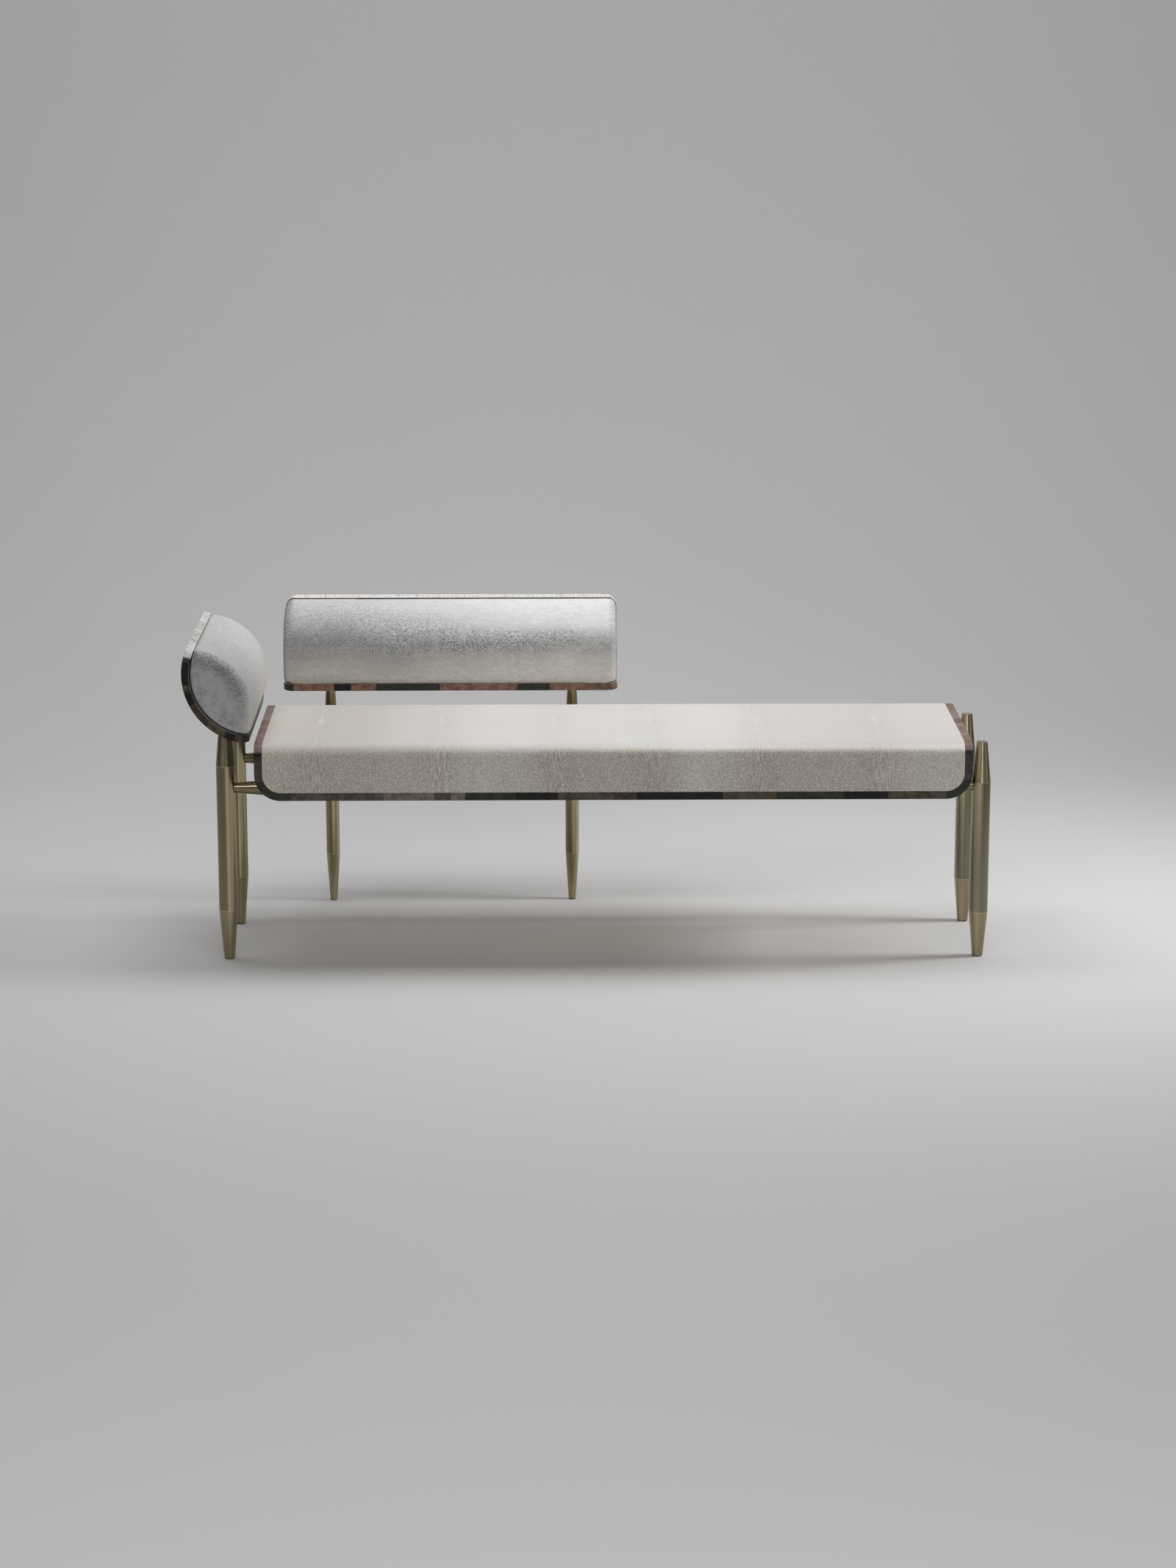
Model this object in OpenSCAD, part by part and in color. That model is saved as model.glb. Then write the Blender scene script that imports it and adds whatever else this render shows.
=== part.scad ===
// A recamier: a hide-clad seat block on two spindle rails and four turned legs,
// with a leaf-section headrest across its left end and a backrest behind it.
// X runs along the seat, Y from front to back, Z up. The origin lies on the floor
// under the middle of the whole piece.

/* [Seat] */
// Height of the seat's top above the floor
seat_top = 482; // [430:1:520]
// Depth of the seat, front to back
seat_depth = 432; // [400:1:520]
// Thickness of the seat block
seat_thick = 120; // [112:1:140]
// Round of the long top edges
seat_edge_r = 28; // [16:1:36]
// Round of the lower end corners
seat_corner_r = 55; // [40:1:60]
// Width of the shell border
border_w = 17; // [12:1:22]
// Thickness of the hides and of the shell border
skin_t = 3; // [2:0.5:4]
// Gap between the headrest's lower edge and the seat's left end
seat_clearance = 9; // [8:1:35]
// Distance from the right leg axes to the seat's right end
seat_gap_right = 27; // [24:1:60]
// Thickness of the seat's top board and ribs
board_t = 18; // [12:1:20]
// Thickness of the board under the seat
base_t = 12; // [9:1:14]

/* [Legs] */
// Distance between the left and right leg axes
leg_span_x = 1600; // [1300:10:1900]
// Distance between the front and rear leg axes
leg_span_y = 285; // [260:1:290]
// Distance from the rear leg axes to the backrest's leg axes
back_leg_set = 200; // [170:1:240]
// Diameter of a main leg
leg_d = 40; // [36:1:42]
// Diameter of a main leg at its ends
leg_end_d = 23; // [20:1:28]
// Distance of the right legs' tops below the seat's top
right_leg_drop = 13; // [0:1:27]
// Length of a left leg's top that is cut away where the headrest lies in it
left_leg_saddle = 15; // [12:1:24]
// Diameter of a backrest leg
back_leg_d = 30; // [26:1:34]
// Diameter of a backrest leg at its ends
back_leg_end_d = 16; // [14:1:20]
// Length of a backrest leg's top that is cut away where the backrest lies in it
back_leg_saddle = 8; // [7:1:16]
// Wall of the leg and rail tubes
tube_wall = 3; // [2:0.5:4]
// Height of the glide that shows under a foot
glide_h = 2; // [1:0.5:4]

/* [Rails] */
// Diameter of a rail
rail_d = 40; // [36:1:42]
// Diameter of a rail where it meets a leg
rail_end_d = 21; // [18:1:24]
// Length of a rail's cone
rail_cone_l = 100; // [80:1:120]
// Height of a rail's axis above the seat's underside
rail_rise = 12; // [12:0.5:16]
// Diameter of a backrest stretcher at the seat
stretcher_d = 26; // [22:1:28]
// Height of a backrest stretcher's axis above the seat's underside
stretcher_rise = 34; // [32:1:36]

/* [Headrest and backrest] */
// Height of the front edge of both top rims above the seat
rest_rise = 202; // [202:1:214]
// Width of the leaf section, rim edge to rim edge
lens_chord = 212; // [204:1:216]
// Depth of the hollow behind that line
lens_bulge = 55; // [51:1:57]
// Slope of the headrest's section against the floor, in degrees
head_slope = 58.4; // [56:0.2:60]
// Slope of the backrest's section against the floor, in degrees
back_slope = 53.6; // [52:0.2:60]
// Distance of the top rim's front edge behind the leg axes
lens_outset = 54; // [50:1:56]
// Length of the headrest
headrest_l = 447; // [410:1:470]
// Length of the backrest
backrest_l = 742; // [600:1:860]
// Distance between the two backrest legs
back_leg_span = 540; // [460:1:560]
// Distance from the left leg axes to the middle of the backrest
backrest_mid = 466; // [450:1:520]
// Thickness of the trough with its backing
trough_t = 16; // [15:1:18]
// Thickness of the shell rim
rim_t = 3; // [2:0.5:4]
// Round of the four corners of a trough
trough_corner_r = 27; // [20:1:32]

/* [Pads] */
// Swell of a pad in front of the rim line
pad_bulge = 54; // [46:1:56]
// Round of a pad's end edges
pad_edge_r = 13; // [8:1:16]
// Round of a pad's four corners
pad_corner_r = 15; // [13:1:18]
// Extra swell at the middle of a pad's length
pad_crown = 2; // [0:0.5:4]
// Thickness of the bent board under a pad
pad_board_t = 6; // [4:0.5:8]
// Thickness of a pad's cover
pad_cover_t = 2; // [1.5:0.5:3]
// Gap between a pad and the shell rim
pad_gap = 1; // [1:0.25:3]

/* [Hidden] */
$fn = 96;

// Clearance between pieces that fit one another
fit = 0.3;
// How far a cut runs past the piece it cuts
overrun = 3;
// Hides side by side along the seat
hide_count = 6;
// Ribs across the seat
rib_count = 5;
// Screws that hold the base board to each rib
screws_per_rib = 3;

// Shares of a leg's height that its lower and upper cones take
foot_cone_share = 0.21;
main_top_cone_share = 0.183;
back_top_cone_share = 0.21;

// The leaf section: radius and half angle of the trough's inner face
lens_r = (lens_chord * lens_chord / 4 + lens_bulge * lens_bulge) / (2 * lens_bulge);
lens_half = asin(lens_chord / 2 / lens_r);
trough_r = lens_r + trough_t;
lens_top = seat_top + rest_rise;

// Centre of each rest's arc, by its slope: how far inside the leg axes, and how high.
// The leg tops meet the trough at the saddle.
function arc_in(slope) = (lens_chord / 2) * cos(slope) + (lens_r - lens_bulge) * sin(slope) - lens_outset;
function arc_z(slope) = lens_top - (lens_chord / 2) * sin(slope) + (lens_r - lens_bulge) * cos(slope);
function saddle_z(slope) = arc_z(slope) - sqrt(pow(trough_r, 2) - pow(arc_in(slope), 2));

// Heights of the legs, the left and back ones before their tops are cut
right_leg_h = seat_top - right_leg_drop;
left_leg_h = saddle_z(head_slope) + left_leg_saddle;
back_leg_h = saddle_z(back_slope) + back_leg_saddle;

// Places of the legs, with the whole piece centred on the origin
left_x = -leg_span_x / 2 + (trough_r - arc_in(head_slope) - leg_d / 2) / 2;
right_x = left_x + leg_span_x;
front_reach = (max(seat_depth, headrest_l) - leg_span_y) / 2;
front_y = -(leg_span_y + back_leg_set + trough_r - arc_in(back_slope) - front_reach) / 2;
rear_y = front_y + leg_span_y;
back_y = rear_y + back_leg_set;
mid_y = front_y + leg_span_y / 2;
backrest_x = left_x + backrest_mid;
leg_rows = [front_y, rear_y];
back_leg_xs = [backrest_x - back_leg_span / 2, backrest_x + back_leg_span / 2];

// The seat block
lower_edge_x = left_x + arc_in(head_slope) - lens_r * cos(lens_half + 90 - head_slope);
seat_left = lower_edge_x + seat_clearance;
seat_right = right_x - seat_gap_right;
seat_l = seat_right - seat_left;
seat_bottom = seat_top - seat_thick;
seat_front = mid_y - seat_depth / 2;
seat_back = mid_y + seat_depth / 2;
frame_left = seat_left + seat_corner_r;
frame_right = seat_right - seat_corner_r;
beam_w = (seat_depth - leg_span_y - rail_d) / 2 - skin_t - fit;
beam_inner = seat_depth / 2 - skin_t - beam_w;
rail_z = seat_bottom + rail_rise;
stretcher_z = seat_bottom + stretcher_rise;
rib_pitch = (frame_right - frame_left) / (rib_count + 1);
rib_xs = [for (i = [1:rib_count]) frame_left + i * rib_pitch];

// Spigots, studs, bolts and screws
spigot_l = 24;
spigot_under_rail = 24;
rail_stud_d = 10;
rail_stud_in_leg = 9;
rail_stud_in_rail = 45;
rail_bolt_d = 8;
rail_bolt_head_d = 13;
rail_bolt_head_h = 6;
rail_bolt_in_rib = 32;
trough_stud_d = 8;
trough_stud_down = 34;
trough_stud_up = 12;
stretcher_stud_d = 8;
stretcher_stud_in_leg = 6;
stretcher_stud_in_bar = 26;
stretcher_stud_in_beam = 36;
stud_tip = 1;
screw_d = 4;
screw_head_d = 8;
screw_head_h = 2.5;
base_screw_l = 30;
pad_screw_l = trough_t - skin_t + pad_board_t / 2;
glide_stem_d = 8;
glide_stem_l = 16;
glide_rim = 1.5;

// Points along each arc of a pad's section, share of its length that its middle rings take,
// and steps round its corners
pad_arc_points = 16;
pad_ring_share = 0.5;
pad_corner_steps = 5;

module along_x(x0, x1) {
  translate([x0, mid_y, 0]) rotate([90, 0, 90]) linear_extrude(x1 - x0) children();
}

module along_y(y0, y1) {
  translate([0, y1, 0]) rotate([90, 0, 0]) linear_extrude(y1 - y0) children();
}

// Section of the seat across its depth, with both long top edges rounded
module seat_section(inset, below) {
  half = seat_depth / 2;
  low = seat_bottom - below;
  translate([inset - half, low]) square([seat_depth - 2 * inset, seat_top - seat_edge_r - low]);
  translate([seat_edge_r - half, low]) square([seat_depth - 2 * seat_edge_r, seat_top - inset - low]);
  for (side = [-1, 1])
    translate([side * (half - seat_edge_r), seat_top - seat_edge_r]) circle(seat_edge_r - inset);
}

// Outline of the seat along its length, with both lower corners rounded
module seat_outline(inset) {
  flat = seat_l - 2 * seat_corner_r;
  translate([seat_left + inset, seat_bottom + seat_corner_r])
    square([seat_l - 2 * inset, seat_thick - seat_corner_r + overrun]);
  translate([frame_left, seat_bottom + inset]) square([flat, seat_thick - inset + overrun]);
  for (x = [frame_left, frame_right])
    translate([x, seat_bottom + seat_corner_r]) circle(seat_corner_r - inset);
}

module seat_skin() {
  along_x(seat_left, seat_right) difference() {
    seat_section(0, 0);
    seat_section(skin_t, overrun);
  }
}

module inside_border() {
  along_y(seat_front - overrun, seat_back + overrun) seat_outline(border_w);
}

// A slab of space between two X values, front to back
module span_x(x0, x1) {
  translate([x0, seat_front - overrun, seat_bottom - overrun])
    cube([x1 - x0, seat_depth + 2 * overrun, seat_thick + 2 * overrun]);
}

module half_depth(side) {
  y = side < 0 ? seat_front - overrun : mid_y;
  translate([seat_left, y, seat_bottom - overrun])
    cube([seat_l, seat_depth / 2 + overrun, seat_thick + 2 * overrun]);
}

module rail_holes() {
  for (y = leg_rows)
    translate([seat_left - overrun, y, rail_z]) rotate([0, 90, 0])
      cylinder(d = rail_d + 2 * fit, h = seat_l + 2 * overrun);
}

module stretcher_holes(d) {
  for (x = back_leg_xs)
    translate([x, seat_back + overrun, stretcher_z]) rotate([90, 0, 0])
      cylinder(d = d + 2 * fit, h = stretcher_stud_in_beam + stud_tip + overrun);
}

module seat_hide(i) {
  width = (seat_l - 2 * border_w) / hide_count;
  x0 = seat_left + border_w + (i - 1) * width;
  color("linen") difference() {
    intersection() {
      seat_skin();
      inside_border();
      span_x(x0, x0 + width);
    }
    stretcher_holes(stretcher_d);
  }
}

module seat_end_border(x0, x1) {
  color("rosybrown") intersection() {
    difference() {
      seat_skin();
      inside_border();
    }
    along_y(seat_front - overrun, seat_back + overrun) seat_outline(0);
    span_x(x0, x1);
  }
}

module seat_long_border(side) {
  color("dimgray") intersection() {
    difference() {
      seat_skin();
      inside_border();
    }
    span_x(frame_left, frame_right);
    half_depth(side);
  }
}

module seat_end_hide(x0, x1) {
  color("linen") difference() {
    intersection() {
      along_y(seat_front, seat_back) difference() {
        seat_outline(0);
        seat_outline(skin_t);
      }
      along_x(x0, x1) seat_section(skin_t, 0);
    }
    rail_holes();
  }
}

module seat_end_block(x0, x1) {
  color("burlywood") difference() {
    intersection() {
      along_x(x0, x1) seat_section(skin_t, 0);
      along_y(seat_front, seat_back) seat_outline(skin_t);
    }
    rail_holes();
  }
}

module seat_beam(side) {
  half = seat_depth / 2;
  low = side < 0 ? -half : beam_inner;
  color("burlywood") difference() {
    along_x(frame_left, frame_right) intersection() {
      seat_section(skin_t, 0);
      translate([low, seat_bottom]) square([half - beam_inner, seat_thick]);
    }
    if (side > 0) stretcher_holes(stretcher_stud_d);
  }
}

module seat_top_board() {
  color("tan") along_x(frame_left, frame_right)
    translate([-beam_inner, seat_top - skin_t - board_t]) square([2 * beam_inner, board_t]);
}

module base_screw_places() {
  pitch = 2 * rib_screw_reach() / (screws_per_rib - 1);
  for (x = rib_xs)
    for (j = [0:screws_per_rib - 1])
      translate([x, mid_y - rib_screw_reach() + j * pitch, seat_bottom]) children();
}

// Screws stay one rail radius inside the rails' inner faces
function rib_screw_reach() = leg_span_y / 2 - rail_d;

module base_screw(grow) {
  head_r = screw_head_d / 2 + grow;
  shank_r = screw_d / 2 + grow;
  cylinder(r1 = head_r, r2 = shank_r, h = screw_head_h);
  cylinder(r = shank_r, h = base_screw_l + grow);
}

module seat_ribs() {
  low = seat_bottom + base_t;
  high = seat_top - skin_t - board_t;
  color("wheat") difference() {
    for (x = rib_xs)
      translate([x - board_t / 2, mid_y - beam_inner, low]) cube([board_t, 2 * beam_inner, high - low]);
    rail_holes();
    rail_bolt_places() cylinder(d = rail_bolt_d + fit, h = rail_d / 2 + rail_bolt_in_rib + fit);
    base_screw_places() base_screw(fit / 2);
  }
}

module seat_base_board() {
  half = leg_span_y / 2 - rail_d / 2 - fit;
  color("tan") difference() {
    translate([frame_left, mid_y - half, seat_bottom]) cube([frame_right - frame_left, 2 * half, base_t]);
    base_screw_places() {
      base_screw(fit / 2);
      translate([0, 0, -overrun]) cylinder(d = screw_head_d + fit, h = overrun);
    }
  }
}

module base_screws() {
  color("silver") base_screw_places() base_screw(0);
}

// Cone end of a rail, lying along X with its small end at the origin
module rail_cone(side) {
  cone_l = leg_d / 2 + rail_cone_l;
  small_r = rail_end_d / 2 - (rail_d - rail_end_d) / 2 * (leg_d / 2) / rail_cone_l;
  mirror([side, 0, 0]) rotate([0, 90, 0]) rotate_extrude() polygon([
    [0, 0], [small_r, 0], [rail_d / 2, cone_l], [rail_d / 2 - tube_wall - fit / 2, cone_l],
    [rail_d / 2 - tube_wall - fit / 2, cone_l + spigot_l], [0, cone_l + spigot_l]
  ]);
}

module rail_stud(side, grow) {
  x0 = -side * rail_stud_in_leg;
  translate([side > 0 ? x0 : x0 - rail_stud_length(), 0, 0]) rotate([0, 90, 0])
    cylinder(d = rail_stud_d + 2 * grow, h = rail_stud_length());
}

function rail_stud_length() = rail_stud_in_leg + leg_d / 2 + rail_stud_in_rail;

module at_rail_joints() {
  for (y = leg_rows) {
    translate([left_x, y, rail_z]) {
      $side = 1;
      children();
    }
    translate([right_x, y, rail_z]) {
      $side = -1;
      children();
    }
  }
}

module rail_ends() {
  color("darkkhaki") difference() {
    at_rail_joints() rail_cone($side > 0 ? 0 : 1);
    for (x = [left_x, right_x])
      for (y = leg_rows)
        translate([x, y, 0]) cylinder(d = leg_d + fit, h = seat_top);
    at_rail_joints() {
      rail_stud($side, fit / 2);
      translate([$side * stud_tip, 0, 0]) rail_stud($side, fit / 2);
    }
  }
}

module rail_studs() {
  color("silver") at_rail_joints() rail_stud($side, 0);
}

module rail_bolt_places() {
  for (x = rib_xs)
    for (y = leg_rows)
      translate([x, y, rail_z]) children();
}

// Top of a bolt head that lies against the upper inside of the rail tube
function bolt_seat() = sqrt(pow(rail_d / 2 - tube_wall, 2) - pow(rail_bolt_head_d / 2, 2));

module rail_bolts() {
  color("silver") rail_bolt_places() {
    translate([0, 0, bolt_seat() - rail_bolt_head_h]) cylinder(d = rail_bolt_head_d, h = rail_bolt_head_h);
    translate([0, 0, bolt_seat() - rail_bolt_head_h])
      cylinder(d = rail_bolt_d, h = rail_bolt_head_h + rail_d / 2 - bolt_seat() + rail_bolt_in_rib);
  }
}

module rail_tube(y) {
  x0 = left_x + leg_d / 2 + rail_cone_l;
  x1 = right_x - leg_d / 2 - rail_cone_l;
  color("darkkhaki") difference() {
    translate([x0, y, rail_z]) rotate([0, 90, 0]) cylinder(d = rail_d, h = x1 - x0);
    translate([x0 - overrun, y, rail_z]) rotate([0, 90, 0])
      cylinder(d = rail_d - 2 * tube_wall, h = x1 - x0 + 2 * overrun);
    for (x = rib_xs)
      translate([x, y, rail_z]) {
        cylinder(d = rail_bolt_d + fit, h = rail_d);
        translate([0, 0, -rail_d]) cylinder(d = rail_bolt_head_d + 2 * fit, h = rail_d);
      }
  }
}

// Turned foot with its spigot, standing on its glide
module leg_foot(h, d, end_d) {
  cone_l = h * foot_cone_share;
  spigot_r = d / 2 - tube_wall - fit / 2;
  difference() {
    rotate_extrude() polygon([
      [0, glide_h], [end_d / 2, glide_h], [d / 2, cone_l], [spigot_r, cone_l],
      [spigot_r, cone_l + spigot_l], [0, cone_l + spigot_l]
    ]);
    cylinder(d = glide_stem_d, h = glide_h + glide_stem_l);
  }
}

// Turned top with its spigot, reaching down to spigot_z
module leg_top(h, d, end_d, cone_share, spigot_z) {
  cone_z = h * (1 - cone_share);
  spigot_r = d / 2 - tube_wall - fit / 2;
  rotate_extrude() polygon([
    [0, spigot_z], [spigot_r, spigot_z], [spigot_r, cone_z], [d / 2, cone_z], [end_d / 2, h], [0, h]
  ]);
}

module leg_tube(h, d, top_share) {
  z0 = h * foot_cone_share;
  z1 = h * (1 - top_share);
  translate([0, 0, z0]) difference() {
    cylinder(d = d, h = z1 - z0);
    translate([0, 0, -overrun]) cylinder(d = d - 2 * tube_wall, h = z1 - z0 + 2 * overrun);
  }
}

module main_leg_tube(x, y, h) {
  color("darkkhaki") difference() {
    translate([x, y, 0]) leg_tube(h, leg_d, main_top_cone_share);
    at_rail_joints() rail_stud($side, fit / 2);
  }
}

module back_leg_tube(x) {
  color("darkkhaki") difference() {
    translate([x, back_y, 0]) leg_tube(back_leg_h, back_leg_d, back_top_cone_share);
    stretcher_studs_cut(fit / 2);
  }
}

module left_leg_feet() {
  color("darkkhaki") for (y = leg_rows)
    translate([left_x, y, 0]) leg_foot(left_leg_h, leg_d, leg_end_d);
}

module right_leg_feet() {
  color("darkkhaki") for (y = leg_rows)
    translate([right_x, y, 0]) leg_foot(right_leg_h, leg_d, leg_end_d);
}

module back_leg_feet() {
  color("darkkhaki") for (x = back_leg_xs)
    translate([x, back_y, 0]) leg_foot(back_leg_h, back_leg_d, back_leg_end_d);
}

module left_leg_tops() {
  color("darkkhaki") difference() {
    for (y = leg_rows)
      translate([left_x, y, 0])
        leg_top(left_leg_h, leg_d, leg_end_d, main_top_cone_share, rail_z - spigot_under_rail);
    at_headrest() trough_space(headrest_l);
    at_rail_joints() rail_stud($side, fit / 2);
    trough_studs_cut(fit / 2);
  }
}

module right_leg_tops() {
  color("darkkhaki") difference() {
    for (y = leg_rows)
      translate([right_x, y, 0])
        leg_top(right_leg_h, leg_d, leg_end_d, main_top_cone_share, rail_z - spigot_under_rail);
    at_rail_joints() rail_stud($side, fit / 2);
  }
}

module back_leg_tops() {
  color("darkkhaki") difference() {
    for (x = back_leg_xs)
      translate([x, back_y, 0])
        leg_top(back_leg_h, back_leg_d, back_leg_end_d, back_top_cone_share, stretcher_z - spigot_under_rail);
    at_backrest() trough_space(backrest_l);
    stretcher_studs_cut(fit / 2);
    trough_studs_cut(fit / 2);
  }
}

module foot_glide(end_d) {
  cylinder(d = end_d - 2 * glide_rim, h = glide_h);
  cylinder(d = glide_stem_d, h = glide_h + glide_stem_l - fit);
}

module foot_glides() {
  color("dimgray") {
    for (x = [left_x, right_x])
      for (y = leg_rows)
        translate([x, y, 0]) foot_glide(leg_end_d);
    for (x = back_leg_xs)
      translate([x, back_y, 0]) foot_glide(back_leg_end_d);
  }
}

// Bar that ties a backrest leg to the seat's rear beam
module stretcher(x) {
  bar_l = back_y - seat_back;
  color("darkkhaki") difference() {
    translate([x, seat_back - skin_t, stretcher_z]) rotate([-90, 0, 0])
      cylinder(d1 = stretcher_d, d2 = back_leg_end_d, h = bar_l + skin_t);
    translate([x, back_y, 0]) cylinder(d = back_leg_d + fit, h = seat_top);
    stretcher_studs_cut(fit / 2);
  }
}

module stretcher_studs_cut(grow) {
  for (x = back_leg_xs) {
    translate([x, back_y + stretcher_stud_in_leg + grow, stretcher_z]) rotate([90, 0, 0])
      cylinder(d = stretcher_stud_d + 2 * grow,
        h = stretcher_stud_in_leg + back_leg_d / 2 + stretcher_stud_in_bar + 2 * grow);
    translate([x, seat_back + stretcher_stud_in_bar + grow, stretcher_z]) rotate([90, 0, 0])
      cylinder(d = stretcher_stud_d + 2 * grow, h = stretcher_stud_in_bar + stretcher_stud_in_beam + 2 * grow);
  }
}

module stretcher_studs() {
  color("silver") stretcher_studs_cut(0);
}

// Studs that stand in the leg tops and hold the two troughs
module trough_stud(x, y, slope, grow) {
  translate([x, y, saddle_z(slope) - trough_stud_down - grow])
    cylinder(d = trough_stud_d + 2 * grow, h = trough_stud_down + trough_stud_up + 2 * grow);
}

module trough_studs_cut(grow) {
  for (y = leg_rows) trough_stud(left_x, y, head_slope, grow);
  for (x = back_leg_xs) trough_stud(x, back_y, back_slope, grow);
}

module trough_studs() {
  color("silver") trough_studs_cut(0);
}

// Frame of a trough: X points out of the hollow, Y along it, Z up along the chord,
// and the origin is the centre of its arc
module at_headrest() {
  translate([left_x + arc_in(head_slope), mid_y, arc_z(head_slope)])
    rotate([0, head_slope - 90, 0]) children();
}

module at_backrest() {
  translate([backrest_x, back_y - arc_in(back_slope), arc_z(back_slope)])
    rotate([0, 0, -90]) rotate([0, back_slope - 90, 0]) children();
}

module lengthwise(l) {
  translate([0, l / 2, 0]) rotate([90, 0, 0]) linear_extrude(l) children();
}

module trough_space(l) {
  lengthwise(l) circle(trough_r + fit / 2);
}

function arc_angle(length) = length / lens_r * 180 / PI;

// Ring sector on the back of the arc, half an angle each way
module sector(r0, r1, half) {
  far = 2 * r1 / cos(half);
  intersection() {
    difference() {
      circle(r1);
      circle(r0);
    }
    polygon([[0, 0], [-far * cos(half), far * sin(half)], [-far * cos(half), -far * sin(half)]]);
  }
}

// Angle on the arc at which the rounding of the corners has its centre
function corner_at() = lens_half - asin((trough_corner_r - fit) / trough_r);

// Stretch of the trough between two radii, drawn in by inset at its edges and corners
module trough_layer(l, r0, r1, inset) {
  intersection() {
    lengthwise(l + overrun) sector(r0, r1, lens_half - arc_angle(inset));
    for_both_edges() corner_plate(l - 2 * inset, trough_corner_r - inset);
  }
}

// Both long edges get their corners rounded square to the trough there
module for_both_edges() {
  intersection() {
    corner_cut(corner_at()) children();
    mirror([0, 0, 1]) corner_cut(corner_at()) children();
  }
}

module corner_cut(a) {
  rotate([0, a - 90, 0]) translate([0, 0, -trough_r]) linear_extrude(2 * trough_r + overrun) children();
}

// Plate with two rounded corners, the centre line of their rounds at X = 0
module corner_plate(l, r) {
  far = 2 * trough_r;
  translate([-far, -l / 2]) square([far, l]);
  translate([-far, r - l / 2]) square([far + r, l - 2 * r]);
  for (y = [r - l / 2, l / 2 - r])
    translate([0, y]) circle(r);
}

module trough_core(l) {
  trough_layer(l, lens_r, trough_r - skin_t, rim_t);
}

module trough_backing(l) {
  trough_layer(l, trough_r - skin_t, trough_r, rim_t);
}

module trough_rim(l) {
  difference() {
    trough_layer(l, lens_r, trough_r, 0);
    trough_layer(l, lens_r - overrun, trough_r + overrun, rim_t);
  }
}

// The rim is cut into strips just inside its corners
function rim_split() = corner_at() - arc_angle(overrun);

module long_rim(l, edge) {
  difference() {
    trough_rim(l);
    lengthwise(l + overrun) sector(lens_r - overrun, trough_r + overrun, rim_split());
    lengthwise(l + overrun) translate([-2 * trough_r, edge > 0 ? -2 * trough_r : 0])
      square([2 * trough_r, 2 * trough_r]);
  }
}

module end_rims(l) {
  intersection() {
    trough_rim(l);
    lengthwise(l + overrun) sector(lens_r - overrun, trough_r + overrun, rim_split());
  }
}

// The board stops short of the pad's edge, so that the cover wraps round it
module pad_board(l) {
  trough_layer(l, lens_r - pad_board_t, lens_r, pad_gap + pad_cover_t + fit);
}

// Section of a pad at y: a back arc and a front arc that swells, which meet at the tips.
// Every front arc starts where the cover lies against the trough.
function pad_wrap_r() = lens_r - fit;
function pad_end(l, inset) = l / 2 - pad_gap - inset;
function corner_drop(l, inset, y) =
  let (r = pad_corner_r, past = abs(y) - (pad_end(l, inset) - r))
  past <= 0 ? 0 : r - sqrt(max(0, r * r - past * past));
function edge_drop(l, inset, y) =
  let (past = abs(y) - (pad_end(l, inset) - pad_edge_r))
  past <= 0 ? 0 : pad_edge_r - sqrt(max(0, pad_edge_r * pad_edge_r - past * past));
function pad_swell(l, inset, y) =
  pad_bulge - inset - edge_drop(l, inset, y) + pad_crown * (1 - pow(2 * y / l, 2)) - pad_crown;
function pad_ring(l, inset, back_r, y) =
  let (
    full_z = pad_wrap_r() * sin(lens_half - arc_angle(pad_gap + inset)),
    tip_z = full_z - corner_drop(l, inset, y),
    tip_x = -sqrt(pow(pad_wrap_r(), 2) - tip_z * tip_z),
    peak_x = pad_swell(l, inset, y) - (lens_r - lens_bulge),
    rise = peak_x - tip_x,
    r = (tip_z * tip_z + rise * rise) / (2 * rise),
    front_x = peak_x - r,
    meet_x = (back_r * back_r - r * r + front_x * front_x) / (2 * front_x),
    meet_z = sqrt(back_r * back_r - meet_x * meet_x),
    half = atan2(meet_z, -meet_x),
    open = atan2(meet_z, meet_x - front_x),
    n = pad_arc_points
  )
  concat(
    [for (k = [0:n - 1]) let (a = half - 2 * half * k / n) [-back_r * cos(a), y, back_r * sin(a)]],
    [for (k = [0:n - 1]) let (a = -open + 2 * open * k / n) [front_x + r * cos(a), y, r * sin(a)]]
  );
function pad_rings_y(l, inset) =
  let (
    r = pad_corner_r,
    flat = pad_end(l, inset) - r,
    steps = [for (k = [pad_corner_steps:-1:0]) flat + r * sin(90 * k / pad_corner_steps)]
  )
  concat([for (y = steps) -y], [for (k = [-1:1]) k * flat * pad_ring_share],
    [for (k = [len(steps) - 1:-1:0]) steps[k]]);

module pad_form(l, inset, back_r) {
  ys = pad_rings_y(l, inset);
  rings = [for (y = ys) pad_ring(l, inset, back_r, y)];
  n = len(rings[0]);
  points = [for (ring = rings) each ring];
  sides = [for (i = [0:len(ys) - 2], k = [0:n - 1]) let (j = (k + 1) % n)
    each [[i * n + k, i * n + j, (i + 1) * n + j], [i * n + k, (i + 1) * n + j, (i + 1) * n + k]]];
  polyhedron(points, concat(sides, [[for (k = [n - 1:-1:0]) k]], [[for (k = [0:n - 1]) (len(ys) - 1) * n + k]]));
}

function pad_back_r() = lens_r - pad_board_t - fit;

module pad_foam(l) {
  pad_form(l, pad_cover_t + fit, pad_back_r());
}

// The cover wraps round the board's edge and is open behind
module pad_cover(l) {
  difference() {
    pad_form(l, 0, pad_wrap_r());
    pad_form(l, pad_cover_t, pad_wrap_r() + overrun);
  }
}

// Screws through a trough into its pad board, from behind
module pad_screw_places(l) {
  for (y = [-l / 4, l / 4])
    for (a = [-lens_half / 2, lens_half / 2])
      translate([0, y, 0]) rotate([0, a, 0]) translate([-(trough_r - skin_t - fit), 0, 0])
        rotate([0, 90, 0]) children();
}

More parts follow.
